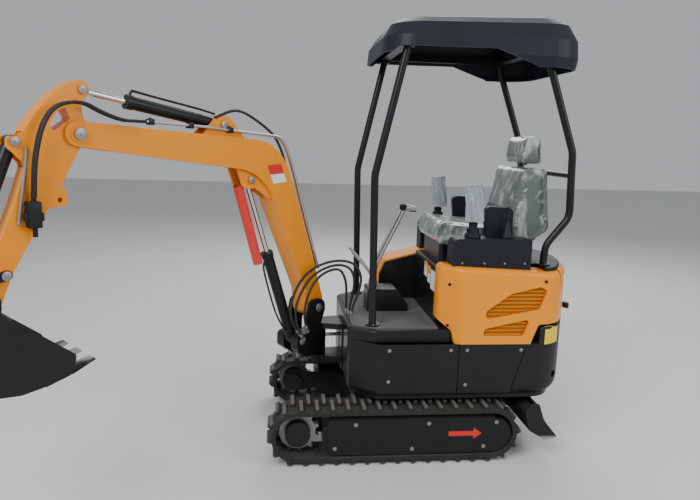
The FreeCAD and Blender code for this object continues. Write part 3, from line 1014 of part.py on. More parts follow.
# Rams, drawn from eye to eye along their own axis
# columns: name, turned with the arm, pin of the barrel, pin of the rod, length of the barrel
# and of the rod, radius of the barrel, of the rod and of the eyes
RAMS = [
    ("boom", True, ("lift_foot_u", "0", "lift_foot_z"), ("lift_eye_u", "0", "lift_eye_z"),
     500, 470, "boom_ram", "boom_rod", 24),
    ("stick", True, ("crowd_foot_u", "0", "crowd_foot_z"), ("crowd_eye_u", "0", "crowd_eye_z"),
     438, 360, "stick_ram", "stick_rod", 22),
    ("bucket", True, ("curl_foot_u", "0", "curl_foot_z"), ("rock_eye_u", "0", "rock_eye_z"),
     300, 285, "bucket_ram", "bucket_rod", 22),
    ("swing", False, ("ram_seat_x", "-ram_seat_y", "ram_level"), ("swing_eye_x", "-swing_eye_y", "ram_level"),
     300, 250, "swing_ram", "swing_rod", 22),
    ("blade", False, ("push_x", "0", "push_z"), ("pull_x", "0", "pull_z"), 290, 150, "blade_ram",
     "blade_rod", 22),
]
WORKED["swing_eye_x"] = "swing_x + ram_seat_y * sin(swing_turn)"
WORKED["swing_eye_y"] = "ram_seat_y * cos(swing_turn)"
for name, turned, base, tip, barrel, rod, outer, thin, eye in RAMS:
    start, end = (FreeCAD.Vector(*[mm(v) for v in spot]) for spot in (base, tip))
    across = FreeCAD.Vector(0, 0, 1) if name == "swing" else FreeCAD.Vector(0, 1, 0)
    if turned:
        arm_turn = FreeCAD.Rotation(FreeCAD.Vector(0, 0, 1), math.degrees(math.radians(mm("swing_turn"))))
        arm_place = FreeCAD.Placement(FreeCAD.Vector(mm("swing_x"), 0, 0), arm_turn)
        start, end, across = arm_place.multVec(start), arm_place.multVec(end), arm_turn.multVec(across)
    along = end - start
    length = along.Length
    spot = FreeCAD.Placement(start + FreeCAD.Vector(mm("frame_x"), mm("frame_y"), 0),
                             FreeCAD.Rotation(along, across, along.cross(across), "XYZ"))
    case = body("ram_%s_barrel" % name)
    stem = body("ram_%s_rod" % name)
    pad(case, "XZ", [("0", "0", eye), ("0", "0", "thin_pin + fit_gap")], "2 - %s" % outer, "%s - 2" % outer)
    pad(case, "YZ", [("0", "0", outer)], 0.95 * eye, barrel)
    pad(case, "YZ", [("0", "0", "%s + 3" % outer)], barrel - 26, barrel)
    cut(case, "YZ", [("0", "0", "%s + 6" % thin)], 0.95 * eye + 22, barrel - 24)
    cut(case, "YZ", [("0", "0", "%s + fit_gap" % thin)], barrel - 25, barrel)
    pad(stem, "XZ", [(length, "0", eye)], "-" + outer, outer)
    pad(stem, "YZ", [("0", "0", thin)], length - rod, length - 0.9 * eye)
    for item in (case, stem):
        item.setExpression("Placement.Base.x", None)
        item.setExpression("Placement.Base.y", None)
        item.Placement = spot

doc.recompute()

# Check and write
wrong = [item.Label for item in doc.Objects if "Invalid" in item.State or "Error" in item.State]
wrong += [item.Label + " shape" for item in NODES if item.Shape.isNull() or not item.Shape.isValid()]
if wrong:
    raise RuntimeError("not built: " + ", ".join(wrong))
boxes = [item.Shape.BoundBox for item in NODES]
for item in NODES:
    item.Shape.exportStep("parts/%s.step" % item.Label)
low = [round(min(getattr(box, axis + "Min") for box in boxes), 2) for axis in "XYZ"]
high = [round(max(getattr(box, axis + "Max") for box in boxes), 2) for axis in "XYZ"]
print("pieces", len(NODES), "box", low, high)
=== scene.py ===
import bpy
import json
import math
import random
from mathutils import Matrix, Vector

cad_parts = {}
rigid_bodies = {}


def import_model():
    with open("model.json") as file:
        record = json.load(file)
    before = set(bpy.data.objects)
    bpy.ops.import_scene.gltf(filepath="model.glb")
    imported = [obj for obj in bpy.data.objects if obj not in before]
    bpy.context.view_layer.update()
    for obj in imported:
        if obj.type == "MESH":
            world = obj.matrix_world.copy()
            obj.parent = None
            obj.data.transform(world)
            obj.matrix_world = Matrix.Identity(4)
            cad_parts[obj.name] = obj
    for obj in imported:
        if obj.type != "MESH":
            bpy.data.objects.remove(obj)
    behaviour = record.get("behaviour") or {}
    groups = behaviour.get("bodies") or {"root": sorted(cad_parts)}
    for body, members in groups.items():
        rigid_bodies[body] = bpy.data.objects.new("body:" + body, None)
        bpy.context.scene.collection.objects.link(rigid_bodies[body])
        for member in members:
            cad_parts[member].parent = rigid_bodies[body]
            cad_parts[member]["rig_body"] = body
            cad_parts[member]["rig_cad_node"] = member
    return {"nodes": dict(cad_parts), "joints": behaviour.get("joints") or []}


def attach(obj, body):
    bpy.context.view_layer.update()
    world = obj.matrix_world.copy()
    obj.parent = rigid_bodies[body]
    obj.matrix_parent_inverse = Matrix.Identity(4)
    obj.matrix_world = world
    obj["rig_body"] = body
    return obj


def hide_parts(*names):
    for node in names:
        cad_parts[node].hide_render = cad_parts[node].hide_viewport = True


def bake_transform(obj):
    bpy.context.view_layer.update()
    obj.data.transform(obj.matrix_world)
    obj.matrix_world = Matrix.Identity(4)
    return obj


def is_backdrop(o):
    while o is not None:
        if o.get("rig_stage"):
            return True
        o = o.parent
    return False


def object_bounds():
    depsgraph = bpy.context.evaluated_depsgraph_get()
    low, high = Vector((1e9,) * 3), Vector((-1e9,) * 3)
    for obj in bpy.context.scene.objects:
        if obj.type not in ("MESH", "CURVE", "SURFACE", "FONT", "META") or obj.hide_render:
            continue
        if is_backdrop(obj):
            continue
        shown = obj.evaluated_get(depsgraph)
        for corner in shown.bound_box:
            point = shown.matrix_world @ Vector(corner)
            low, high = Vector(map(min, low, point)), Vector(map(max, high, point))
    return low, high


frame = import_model()
cad_low, cad_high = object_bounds()
nodes = frame["nodes"]
scene = bpy.context.scene
slew = Vector([joint for joint in frame["joints"] if joint["name"] == "slew"][0]["pos_m"])
slew.z = 0

# Camera
# Stands on the machine's left, a little ahead of the slew axis, at eye height,
# and looks slightly down and back. Its place, turn and lens are those of the photo.
LENS_SHARE = 637.2 / 700
SENSOR_WIDE = 36
CAMERA_SPOT = slew + Vector((0.584, 3.306, 1.556))
YAW, PITCH, ROLL = (math.radians(angle) for angle in (-6.579, -9.743, 1.682))
ahead = Vector((math.sin(YAW) * math.cos(PITCH), -math.cos(YAW) * math.cos(PITCH), math.sin(PITCH)))
level = Vector((-math.cos(YAW), -math.sin(YAW), 0))
upright = level.cross(ahead)
right = level * math.cos(ROLL) + upright * math.sin(ROLL)
up = upright * math.cos(ROLL) - level * math.sin(ROLL)
camera_data = bpy.data.cameras.new("camera")
camera_data.sensor_width = SENSOR_WIDE
camera_data.lens = SENSOR_WIDE * LENS_SHARE
camera_data.clip_end = 60
camera = bpy.data.objects.new("camera", camera_data)
scene.collection.objects.link(camera)
turn = Matrix((right, up, -ahead)).transposed().to_4x4()
camera.matrix_world = Matrix.Translation(CAMERA_SPOT) @ turn
scene.camera = camera

# Floor and studio light
# A pale floor, an even pale sky, one broad key light over the camera's left
# shoulder, a weaker fill from the other side and a light from behind the machine.
bpy.ops.mesh.primitive_plane_add(size=40, location=(0, 0, 0))
floor = bpy.context.object
floor.name = "floor"
floor_paint = bpy.data.materials.new("studio_floor")
floor_paint.use_nodes = True
floor_shader = floor_paint.node_tree.nodes["Principled BSDF"]
floor_shader.inputs["Base Color"].default_value = (0.62, 0.62, 0.61, 1)
floor_shader.inputs["Roughness"].default_value = 0.9
floor.data.materials.append(floor_paint)
floor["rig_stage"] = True
world = bpy.data.worlds.new("sky")
scene.world = world
world.use_nodes = True
sky = world.node_tree.nodes["Background"]
sky.inputs["Color"].default_value = (0.86, 0.9, 0.95, 1)
sky.inputs["Strength"].default_value = 0.5
LIT_SPOT = Vector((-0.3, 0, 0.9))
# columns: name, place, size, power
LIGHTS = (
    ("key", (3.2, 4.6, 5.2), 4.0, 420),
    ("fill", (-4.6, 3.2, 3.4), 3.5, 150),
    ("back", (-2.0, -5.0, 5.0), 4.0, 260),
)
for name, spot, size, power in LIGHTS:
    lamp_data = bpy.data.lights.new(name, "AREA")
    lamp_data.size = size
    lamp_data.energy = power
    lamp = bpy.data.objects.new(name, lamp_data)
    scene.collection.objects.link(lamp)
    lamp.location = spot
    lamp.rotation_euler = (LIT_SPOT - Vector(spot)).to_track_quat("-Z", "Y").to_euler()
    lamp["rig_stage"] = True


# Rubber tracks
# One moulded rubber belt a side, with lugs outside and guide blocks inside. The
# lug tips are scuffed pale by dry soil, and some dust lies on every face that looks up.
def add(tree, kind, **inputs):
    """Adds a node of a kind to a material and sets its inputs, named in lower case."""
    node = tree.nodes.new("ShaderNode" + kind)
    for name, value in inputs.items():
        node.inputs[name.replace("_", " ").title()].default_value = value
    return node


def finish(name, colour, rough, metal=0.0, coat=0.0, grain=90, depth=0.1, dust=0.1):
    """A paint, rubber, plastic or metal with fine grain, uneven sheen and settled dust."""
    paint = bpy.data.materials.new(name)
    paint.use_nodes = True
    tree = paint.node_tree
    join = tree.links.new
    shader = tree.nodes["Principled BSDF"]
    shader.inputs["Metallic"].default_value = metal
    shader.inputs["Coat Weight"].default_value = coat
    shader.inputs["Coat Roughness"].default_value = 0.12
    shader.inputs["Specular IOR Level"].default_value = 0.5 if metal else 0.22
    place = add(tree, "TexCoord")
    fine = add(tree, "TexNoise", scale=grain, detail=6)
    join(place.outputs["Object"], fine.inputs["Vector"])
    bump = add(tree, "Bump", strength=depth, distance=0.002)
    join(fine.outputs["Fac"], bump.inputs["Height"])
    join(bump.outputs["Normal"], shader.inputs["Normal"])
    spread = add(tree, "TexNoise", scale=5, detail=9)
    join(place.outputs["Object"], spread.inputs["Vector"])
    facing = add(tree, "NewGeometry")
    split = add(tree, "SeparateXYZ")
    join(facing.outputs["Normal"], split.inputs["Vector"])
    lie = add(tree, "MapRange", from_min=-0.2, from_max=1.0, to_min=0.25 * dust, to_max=1.6 * dust)
    join(split.outputs["Z"], lie.inputs["Value"])
    amount = add(tree, "Math")
    amount.operation = "MULTIPLY"
    amount.use_clamp = True
    join(lie.outputs["Result"], amount.inputs[0])
    join(spread.outputs["Fac"], amount.inputs[1])
    dusty = add(tree, "Mix")
    dusty.data_type = "RGBA"
    dusty.inputs["A"].default_value = (*colour, 1)
    dusty.inputs["B"].default_value = (0.34, 0.31, 0.27, 1)
    join(amount.outputs["Value"], dusty.inputs["Factor"])
    join(dusty.outputs["Result"], shader.inputs["Base Color"])
    tone = add(tree, "MapRange", to_min=rough * 0.8, to_max=min(1.0, rough * 1.25))
    join(spread.outputs["Fac"], tone.inputs["Value"])
    join(tone.outputs["Result"], shader.inputs["Roughness"])
    return paint


def lay_over(paint, share, colour):
    """Lays a plain colour over a material's own, by a share that differs from place to place."""
    tree = paint.node_tree
    base = tree.nodes["Principled BSDF"].inputs["Base Color"]
    mix = add(tree, "Mix")
    mix.data_type = "RGBA"
    mix.inputs["B"].default_value = (*colour, 1)
    tree.links.new(share, mix.inputs["Factor"])
    tree.links.new(base.links[0].from_socket, mix.inputs["A"])
    tree.links.new(mix.outputs["Result"], base)


def ramp(tree, value, start, end, most=1.0):
    """A share that goes from 0 at one value to its most at another."""
    step = add(tree, "MapRange", from_min=start, from_max=end, to_max=most)
    tree.links.new(value, step.inputs["Value"])
    return step.outputs["Result"]


def parts_of(tree, output="Object"):
    """The x, y and z of the place on the piece, or of its normal."""
    place = add(tree, "TexCoord")
    split = add(tree, "SeparateXYZ")
    tree.links.new(place.outputs[output], split.inputs["Vector"])
    return split.outputs


def sum_of(tree, operation, first, second=0.0):
    """One step of arithmetic on a value of the material."""
    node = add(tree, "Math")
    node.operation = operation
    tree.links.new(first, node.inputs[0])
    if isinstance(second, float):
        node.inputs[1].default_value = second
    else:
        tree.links.new(second, node.inputs[1])
    return node.outputs["Value"]


def dress(paint, *names):
    """Gives CAD nodes a finish."""
    for node in names:
        nodes[node].data.materials.clear()
        nodes[node].data.materials.append(paint)


TRACK_REACH, TRACK_MIDDLE = 0.479, 0.148
SCUFF_START, SCUFF_END, SCUFF_MOST = 0.137, 0.147, 0.42
rubber = finish("rubber", (0.013, 0.013, 0.014), 0.82, grain=60, depth=0.3, dust=0.16)
tree = rubber.node_tree
spot = parts_of(tree)
run = sum_of(tree, "ABSOLUTE", sum_of(tree, "SUBTRACT", spot["X"], slew.x))
run = sum_of(tree, "MAXIMUM", sum_of(tree, "SUBTRACT", run, TRACK_REACH))
rise = sum_of(tree, "SUBTRACT", spot["Z"], TRACK_MIDDLE)
reach = sum_of(tree, "ADD", sum_of(tree, "POWER", run, 2.0), sum_of(tree, "MULTIPLY", rise, rise))
tips = ramp(tree, reach, SCUFF_START ** 2, SCUFF_END ** 2, SCUFF_MOST)
lay_over(rubber, tips, (0.24, 0.215, 0.185))
dress(rubber, "track_left", "track_right")

# Track frames, covers, wheels and travel motors
# Welded black frames and pressed covers, cast wheels and bare steel sprockets. Each
# cover is held by hexagon screws and carries a plain red arrow that points to the rear.
black = finish("paint_black", (0.006, 0.0075, 0.010), 0.34, coat=0.08, grain=120, depth=0.06, dust=0.035)
cast = finish("cast_black", (0.007, 0.0085, 0.011), 0.5, coat=0.04, grain=45, depth=0.25, dust=0.05)
steel = finish("steel", (0.30, 0.30, 0.31), 0.42, metal=0.9, grain=80, depth=0.12, dust=0.2)
dress(black, "track_frames", "track_covers")
dress(cast, "idlers", "rollers", "travel_motors")
dress(steel, "sprockets")


def at(x, y, z):
    """A place in the row frame from metres ahead of and beside the slew axis."""
    return Vector((slew.x + x, slew.y + y, z))


def alone(piece):
    """Selects one object only."""
    bpy.ops.object.select_all(action="DESELECT")
    piece.select_set(True)
    bpy.context.view_layer.objects.active = piece


def round_edges(bevel, segments):
    """Places a new primitive in its mesh and rounds all its edges."""
    piece = bpy.context.object
    bpy.ops.object.transform_apply(location=True, rotation=True, scale=True)
    bpy.ops.object.mode_set(mode="EDIT")
    bpy.ops.mesh.select_all(action="SELECT")
    bpy.ops.mesh.bevel(offset=bevel, segments=segments, affect="EDGES")
    bpy.ops.object.mode_set(mode="OBJECT")
    return piece


def drum(spot, facing, radius, tall, sides=24, bevel=0.0008):
    """A short cylinder that stands on a spot, with rounded edges."""
    bpy.ops.object.select_all(action="DESELECT")
    facing = Vector(facing).normalized()
    bpy.ops.mesh.primitive_cylinder_add(vertices=sides, radius=radius, depth=tall,
                                        location=Vector(spot) + facing * tall / 2,
                                        rotation=facing.to_track_quat("Z", "Y").to_euler())
    return round_edges(bevel, 2)


def block(low, high, bevel):
    """A box between two corners with rounded edges."""
    bpy.ops.object.select_all(action="DESELECT")
    low, high = Vector(low), Vector(high)
    bpy.ops.mesh.primitive_cube_add(size=1, location=(low + high) / 2)
    bpy.context.object.scale = high - low
    return round_edges(bevel, 3)


def bolt(spot, facing, radius):
    """A hexagon head on its washer."""
    facing = Vector(facing).normalized()
    washer = drum(spot, facing, 1.5 * radius, 0.25 * radius)
    head = drum(Vector(spot) + facing * 0.25 * radius, facing, radius, 0.65 * radius, 6, 0.1 * radius)
    return [washer, head]


def settle(pieces, name, paint, body):
    """Joins the pieces into one named mesh with a finish, riding on a CAD body."""
    bpy.ops.object.select_all(action="DESELECT")
    for piece in pieces:
        piece.select_set(True)
    bpy.context.view_layer.objects.active = pieces[0]
    if len(pieces) > 1:
        bpy.ops.object.join()
    whole = bpy.context.view_layer.objects.active
    bpy.ops.object.shade_smooth_by_angle(angle=math.radians(35))
    whole.name = name
    whole.data.name = name
    whole.data.materials.clear()
    whole.data.materials.append(paint)
    if body:
        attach(whole, body)
    return whole


def sticker(name, corners, node, paint, body, lift=0.0009):
    """A thin blank plate laid over a CAD face between four corners, in order round it."""
    bpy.ops.object.select_all(action="DESELECT")
    bpy.ops.mesh.primitive_grid_add(x_subdivisions=12, y_subdivisions=12, size=2)
    piece = bpy.context.object
    a, b, c, d = (Vector(corner) for corner in corners)
    for vertex in piece.data.vertices:
        s, t = (vertex.co.x + 1) / 2, (vertex.co.y + 1) / 2
        vertex.co = a * (1 - s) * (1 - t) + b * s * (1 - t) + c * s * t + d * (1 - s) * t
    wrap = piece.modifiers.new("lay", "SHRINKWRAP")
    wrap.target = nodes[node]
    wrap.wrap_method = "NEAREST_SURFACEPOINT"
    wrap.wrap_mode = "ABOVE_SURFACE"
    wrap.offset = lift
    bpy.ops.object.modifier_apply(modifier="lay")
    thick = piece.modifiers.new("thick", "SOLIDIFY")
    thick.thickness = lift * 0.8
    thick.offset = 0
    bpy.ops.object.modifier_apply(modifier="thick")
    return settle([piece], name, paint, body)


SIDES = ((1, "left"), (-1, "right"))
COVER_FACE, COVER_BOLT = 0.446, 0.007
cover_bolts = []
for side, word in SIDES:
    for x, z in ((-0.50, 0.205), (-0.16, 0.205), (0.20, 0.205), (0.30, 0.085), (-0.08, 0.075), (-0.44, 0.08)):
        cover_bolts += bolt(at(x, side * COVER_FACE, z), (0, side, 0), COVER_BOLT)
settle(cover_bolts, "cover_bolts", steel, "undercarriage")
signal_red = finish("sign_red", (0.62, 0.02, 0.015), 0.4, coat=0.3, depth=0.02, dust=0.05)
ARROW = (
    ("shaft", ((-0.385, 0.138), (-0.260, 0.138), (-0.260, 0.162), (-0.385, 0.162))),
    ("head", ((-0.385, 0.120), (-0.385, 0.180), (-0.425, 0.152), (-0.425, 0.148))),
)
for side, word in SIDES:
    for part, outline in ARROW:
        corners = [at(x, side * COVER_FACE, z) for x, z in outline]
        sticker("arrow_%s_%s" % (part, word), corners, "track_covers", signal_red, "undercarriage")

# Carbody, slew ring and dozer blade
# Black fabrications round a bare steel ring. The blade's cutting edge is worn
# bright along the ground.
BLADE_WORN_TOP, BLADE_WORN_LOW = 0.135, 0.118
edge_steel = finish("blade_black", (0.007, 0.008, 0.010), 0.4, coat=0.05, grain=70, depth=0.2, dust=0.08)
tree = edge_steel.node_tree
worn = ramp(tree, parts_of(tree)["Z"], BLADE_WORN_TOP, BLADE_WORN_LOW)
lay_over(edge_steel, worn, (0.28, 0.27, 0.26))
dress(edge_steel, "blade")
dress(black, "carbody")
dress(steel, "slew_ring")

# Deck, lower panels and counterweight
# Pressed black panels screwed to the deck; the cast counterweight carries a
# blank yellow plate at its left rear corner.
PANEL_FACE, PANEL_BOLT = 0.44, 0.006
dress(black, "deck", "swing_bracket", "lower_panels", "side_panels")
dress(cast, "counterweight")
panel_bolts = []
for side, word in SIDES:
    for x, z in ((-0.60, 0.575), (-0.33, 0.575), (-0.33, 0.40), (-0.25, 0.575), (0.05, 0.575), (0.05, 0.42)):
        panel_bolts += bolt(at(x, side * PANEL_FACE, z), (0, side, 0), PANEL_BOLT)
settle(panel_bolts, "panel_bolts", steel, "house")
plate_yellow = finish("plate_yellow", (0.8, 0.55, 0.03), 0.45, depth=0.02, dust=0.05)
corners = (at(-0.715, 0.425, 0.60), at(-0.815, 0.385, 0.60), at(-0.815, 0.385, 0.68), at(-0.715, 0.425, 0.68))
sticker("tail_plate", corners, "counterweight", plate_yellow, "house")

# Floor and mat
# The floor is a black painted pressing; a grey rubber mat with long ribs lies on it.
mat = finish("mat", (0.075, 0.08, 0.09), 0.8, grain=60, depth=0.15, dust=0.2)
RIB_COUNT, RIB_FIRST, RIB_STEP, RIB_WIDE = 17, 0.085, 0.018, 0.008
dress(black, "floor_deck")
dress(mat, "floor_mat")
ribs = []
for i in range(RIB_COUNT):
    y = RIB_FIRST + RIB_STEP * i
    ribs.append(block(at(-0.165, y, 0.6695), at(0.085, y + RIB_WIDE, 0.6725), 0.001))
settle(ribs, "mat_ribs", mat, "house")

# Hoods, bonnet and grilles
# Orange pressed hoods with sunk vents, a black grained lid over the engine and a
# latch low on the rear bonnet. Each hood is held by three black screws.
plastic = finish("plastic_black", (0.008, 0.010, 0.015), 0.5, grain=260, depth=0.25, dust=0.02)
orange = finish("paint_orange", (0.82, 0.265, 0.004), 0.36, coat=0.12, grain=90, depth=0.035, dust=0.01)
# the grilles in the sunk vents take a darker orange than the hoods: painted shade of the recess
vent_orange_painted_shade = finish("vent_orange_painted_shade", (0.5, 0.165, 0.004), 0.5, grain=240, depth=0.3, dust=0.03)
engine_grey = finish("engine", (0.1, 0.1, 0.1), 0.6, grain=40, depth=0.2, dust=0.1)
dress(orange, "hood_left", "hood_right", "rear_bonnet")
dress(vent_orange_painted_shade, "hood_grilles")
dress(plastic, "bonnet_top")
dress(black, "inner_panel", "seat_riser")
dress(engine_grey, "engine_block")
HOOD_FACE, HOOD_SCREW = 0.4398, 0.0055
for side, word in SIDES:
    screws = []
    for x, z in ((-0.225, 0.70), (-0.225, 0.90), (-0.70, 0.915)):
        screws += bolt(at(x, side * HOOD_FACE, z), (0, side, 0), HOOD_SCREW)
    settle(screws, "hood_screws_" + word, black, "house")
latch = block(at(-0.912, 0.225, 0.735), at(-0.889, 0.262, 0.765), 0.004)
settle([latch], "bonnet_latch", black, "house")

# Seat riser front
# Three blank labels side by side on the black riser in front of the seat, two of
# them with a coloured head.
white = finish("label_white", (0.75, 0.75, 0.73), 0.45, depth=0.02, dust=0.03)
label_orange = finish("label_orange", (0.85, 0.3, 0.04), 0.45, depth=0.02, dust=0.03)
RISER_FACE = -0.2
# columns: name, paint, nearer edge, farther edge, low, high
LABELS = (
    ("label_a", plate_yellow, 0.02, 0.09, 0.915, 0.938),
    ("label_a_blank", white, 0.02, 0.09, 0.86, 0.914),
    ("label_b", label_orange, 0.10, 0.16, 0.89, 0.93),
    ("label_b_blank", white, 0.10, 0.16, 0.84, 0.889),
    ("label_c", white, 0.17, 0.265, 0.82, 0.92),
)
for name, paint, inner, outer, low, high in LABELS:
    outline = ((inner, low), (outer, low), (outer, high), (inner, high))
    sticker(name, [at(RISER_FACE, y, z) for y, z in outline], "seat_riser", paint, "house")

# Seat
# Foam cushion, back and headrest in dark vinyl, still under the wrinkled clear
# film that they were delivered in; pale streaks along its folds are painted
# highlights, and the rear faces are darkened with painted shade. Each is
# inflated a little as cloth, held along its lower rim.
film = finish("vinyl_black", (0.10, 0.125, 0.115), 0.34, coat=0.7, grain=20, depth=0.8, dust=0.0)
tree = film.node_tree
place = add(tree, "TexCoord")
pull = add(tree, "Mapping", scale=(7, 9, 3.5))
tree.links.new(place.outputs["Object"], pull.inputs["Vector"])
fold_highlight_noise = add(tree, "TexNoise", scale=1.6, detail=7, distortion=1.8)
tree.links.new(pull.outputs["Vector"], fold_highlight_noise.inputs["Vector"])
# pale streaks along the film's folds: painted highlights
lay_over(film, ramp(tree, fold_highlight_noise.outputs["Fac"], 0.5, 0.72, 0.75), (0.55, 0.58, 0.58))
# faces that look to the rear are darkened: painted shade
rearward_painted_shade = ramp(tree, parts_of(tree, "Normal")["X"], -0.2, -0.55)
lay_over(film, rearward_painted_shade, (0.012, 0.014, 0.016))
dress(black, "seat_base")
CLOTH_FRAMES, CLOTH_CAP, HELD_RIM = 20, 0.009, 0.012
# columns: node, piece, remesh cell
CUSHIONS = (
    ("seat_cushion", "cushion_cover", 0.007),
    ("seat_back", "back_cover", 0.007),
    ("headrest", "headrest_cover", 0.005),
)
for node, name, cell in CUSHIONS:
    piece = nodes[node].copy()
    piece.data = nodes[node].data.copy()
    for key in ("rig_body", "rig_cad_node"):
        del piece[key]
    scene.collection.objects.link(piece)
    piece.parent = None
    alone(piece)
    piece.data.remesh_voxel_size = cell
    bpy.ops.object.voxel_remesh()
    relax = piece.modifiers.new("relax", "SMOOTH")
    relax.iterations = 4
    bpy.ops.object.modifier_apply(modifier="relax")
    flat = [vertex.co.copy() for vertex in piece.data.vertices]
    low = min(spot.z for spot in flat)
    pinned = piece.vertex_groups.new(name="held")
    pinned.add([i for i, spot in enumerate(flat) if spot.z < low + HELD_RIM], 1.0, "REPLACE")
    cloth = piece.modifiers.new("fill", "CLOTH")
    cloth.settings.quality = 4
    cloth.settings.vertex_group_mass = "held"
    cloth.settings.use_pressure = True
    cloth.settings.uniform_pressure_force = 4
    cloth.settings.effector_weights.gravity = 0
    cloth.settings.tension_stiffness = 8
    cloth.settings.bending_stiffness = 0.2
    cloth.collision_settings.use_collision = False
    cloth.point_cache.frame_start = 1
    cloth.point_cache.frame_end = CLOTH_FRAMES
    for step in range(1, CLOTH_FRAMES + 1):
        scene.frame_set(step)
    bpy.ops.object.modifier_apply(modifier="fill")
    for vertex, spot in zip(piece.data.vertices, flat):
        move = vertex.co - spot
        vertex.co = spot + move * min(1.0, CLOTH_CAP / max(move.length, 1e-9))
    finer = piece.modifiers.new("finer", "SUBSURF")
    finer.levels = 1
    bpy.ops.object.modifier_apply(modifier="finer")
    settle([piece], name, film, "house")
    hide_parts(node)
scene.frame_set(1)

# Consoles and joysticks
# Grained plastic boxes with a row of screws; the grips still wear sleeves of
# crinkled protective film.
dress(plastic, "consoles", "joysticks")
sleeve_film = finish("sleeve_film", (0.34, 0.39, 0.43), 0.22, coat=0.8, grain=38, depth=1.0, dust=0.0)
CONSOLE_FACE, GRIP_AHEAD, GRIP_BESIDE, GRIP_MIDDLE = 0.4022, -0.35, 0.348, 1.28
FOLDS, FOLD_TWIST, FOLD_DEEP, FOLD_ROUGH = 7, 55, 0.003, 0.0015
random.seed(3)
for side, word in SIDES:
    screws = []
    for x in (-0.60, -0.50, -0.40, -0.29):
        screws.append(drum(at(x, side * CONSOLE_FACE, 0.995), (0, side, 0), 0.005, 0.002, 16))
    settle(screws, "console_screws_" + word, steel, "house")
    bpy.ops.object.select_all(action="DESELECT")
    axis = at(GRIP_AHEAD, side * GRIP_BESIDE, GRIP_MIDDLE)
    bpy.ops.mesh.primitive_cone_add(vertices=40, radius1=0.043, radius2=0.037, depth=0.175,
                                    location=axis, rotation=(0, math.radians(5), 0))
    sleeve = bpy.context.object
    bpy.ops.object.transform_apply(location=True, rotation=True, scale=True)
    bpy.ops.object.mode_set(mode="EDIT")
    bpy.ops.mesh.select_all(action="SELECT")
    bpy.ops.mesh.subdivide(number_cuts=8)
    bpy.ops.object.mode_set(mode="OBJECT")
    for vertex in sleeve.data.vertices:
        out = Vector((vertex.co.x - axis.x, vertex.co.y - axis.y, 0))
        wave = FOLD_DEEP * math.sin(FOLDS * math.atan2(out.y, out.x) + FOLD_TWIST * vertex.co.z)
        crease = wave + random.uniform(-FOLD_ROUGH, FOLD_ROUGH)
        if out.length > 0.02:
            vertex.co += out.normalized() * crease
    settle([sleeve], "grip_sleeve_" + word, sleeve_film, "house")

# Travel levers and pedals
# Bent bright rods in a black floor bracket; one of them carries a black knob.
lever_steel = finish("lever_steel", (0.34, 0.34, 0.35), 0.34, metal=0.8, grain=60, depth=0.08, dust=0.1)
dress(lever_steel, "travel_levers")
dress(black, "travel_controls")
knob = drum(at(-0.065, 0.04, 1.205), (0, 0, 1), 0.016, 0.034, 28, 0.010)
settle([knob], "lever_knob", plastic, "house")

# Canopy
# A moulded black roof with a fine orange-peel grain on bent black tubes, each
# held by four bolts round its foot.
roof_plastic = finish("roof_plastic", (0.008, 0.011, 0.018), 0.5, coat=0.05, grain=300, depth=0.35, dust=0.03)
dress(roof_plastic, "canopy_roof")
dress(black, "canopy_posts", "roof_frame")
POST_BESIDE, BOLT_CIRCLE, POST_BOLT = 0.332, 0.026, 0.0045
post_bolts = []
for x, z in ((0.121, 0.678), (-0.722, 0.984)):
    for side, word in SIDES:
        for dx, dy in ((BOLT_CIRCLE, 0.0), (-BOLT_CIRCLE, 0.0), (0.0, BOLT_CIRCLE), (0.0, -BOLT_CIRCLE)):
            post_bolts += bolt(at(x + dx, side * POST_BESIDE + dy, z), (0, 0, 1), POST_BOLT)
settle(post_bolts, "post_bolts", steel, "house")

# Boom and stick
# Orange box sections between a black swing post and black link plates. Steel caps
# close each pin, with a grease nipple in the middle, and a blank plate, red over
# white, sits at the boom's bend.
dress(orange, "boom", "stick")
dress(black, "swing_post", "rocker", "bucket_link")
ARM = Matrix.Translation(at(0.367, 0, 0)) @ Matrix.Rotation(math.radians(40), 4, "Z")
CAP_TALL, NIPPLE = 0.005, 0.0045
# columns: name, along, height, half width, cap radius, body
PINS = (
    ("foot", 0.075, 0.700, 0.085, 0.022, "swing_post"),
    ("lift_foot", 0.185, 0.540, 0.085, 0.018, "swing_post"),
    ("elbow", 1.271, 1.551, 0.0695, 0.022, "boom"),
    ("lift_eye", 0.480, 1.364, 0.046, 0.017, "boom"),
    ("crowd_foot", 0.628, 1.609, 0.046, 0.017, "boom"),
    ("crowd_eye", 1.246, 1.711, 0.046, 0.017, "stick"),
    ("curl_foot", 1.488, 1.520, 0.046, 0.017, "stick"),
    ("rock", 1.544, 1.060, 0.0575, 0.017, "stick"),
    ("tip", 1.595, 0.968, 0.0575, 0.02, "bucket"),
)


def arm_settle(parts, name, paint, body):
    """Settles pieces that were made along the arm, beside it and in height."""
    for part in parts:
        part.data.transform(ARM)
    return settle(parts, name, paint, body)


for name, along, height, half, radius, body in PINS:
    parts = []
    for side, word in SIDES:
        parts.append(drum((along, side * half, height), (0, side, 0), radius, CAP_TALL, 32, 0.0015))
        parts.append(drum((along, side * (half + CAP_TALL), height), (0, side, 0), NIPPLE, 0.005, 6))
    arm_settle(parts, "pin_caps_" + name, steel, body)
PLATE_LOW, PLATE_LEAN, PLATE_START, BOOM_FACE = 1.352, 0.45, 0.2785, 0.058
# columns: name, paint, low, high
PLATES = (("boom_plate_red", signal_red, 1.395, 1.438), ("boom_plate_blank", white, 1.352, 1.3935))
for name, paint, low, high in PLATES:
    low_left, high_left = (PLATE_START + PLATE_LEAN * (z - PLATE_LOW) for z in (low, high))
    outline = ((low_left, low), (low_left + 0.083, low - 0.006),
               (high_left + 0.081, high - 0.006), (high_left, high))
    sticker(name, [ARM @ Vector((u, BOOM_FACE, z)) for u, z in outline], "boom", paint, "boom")

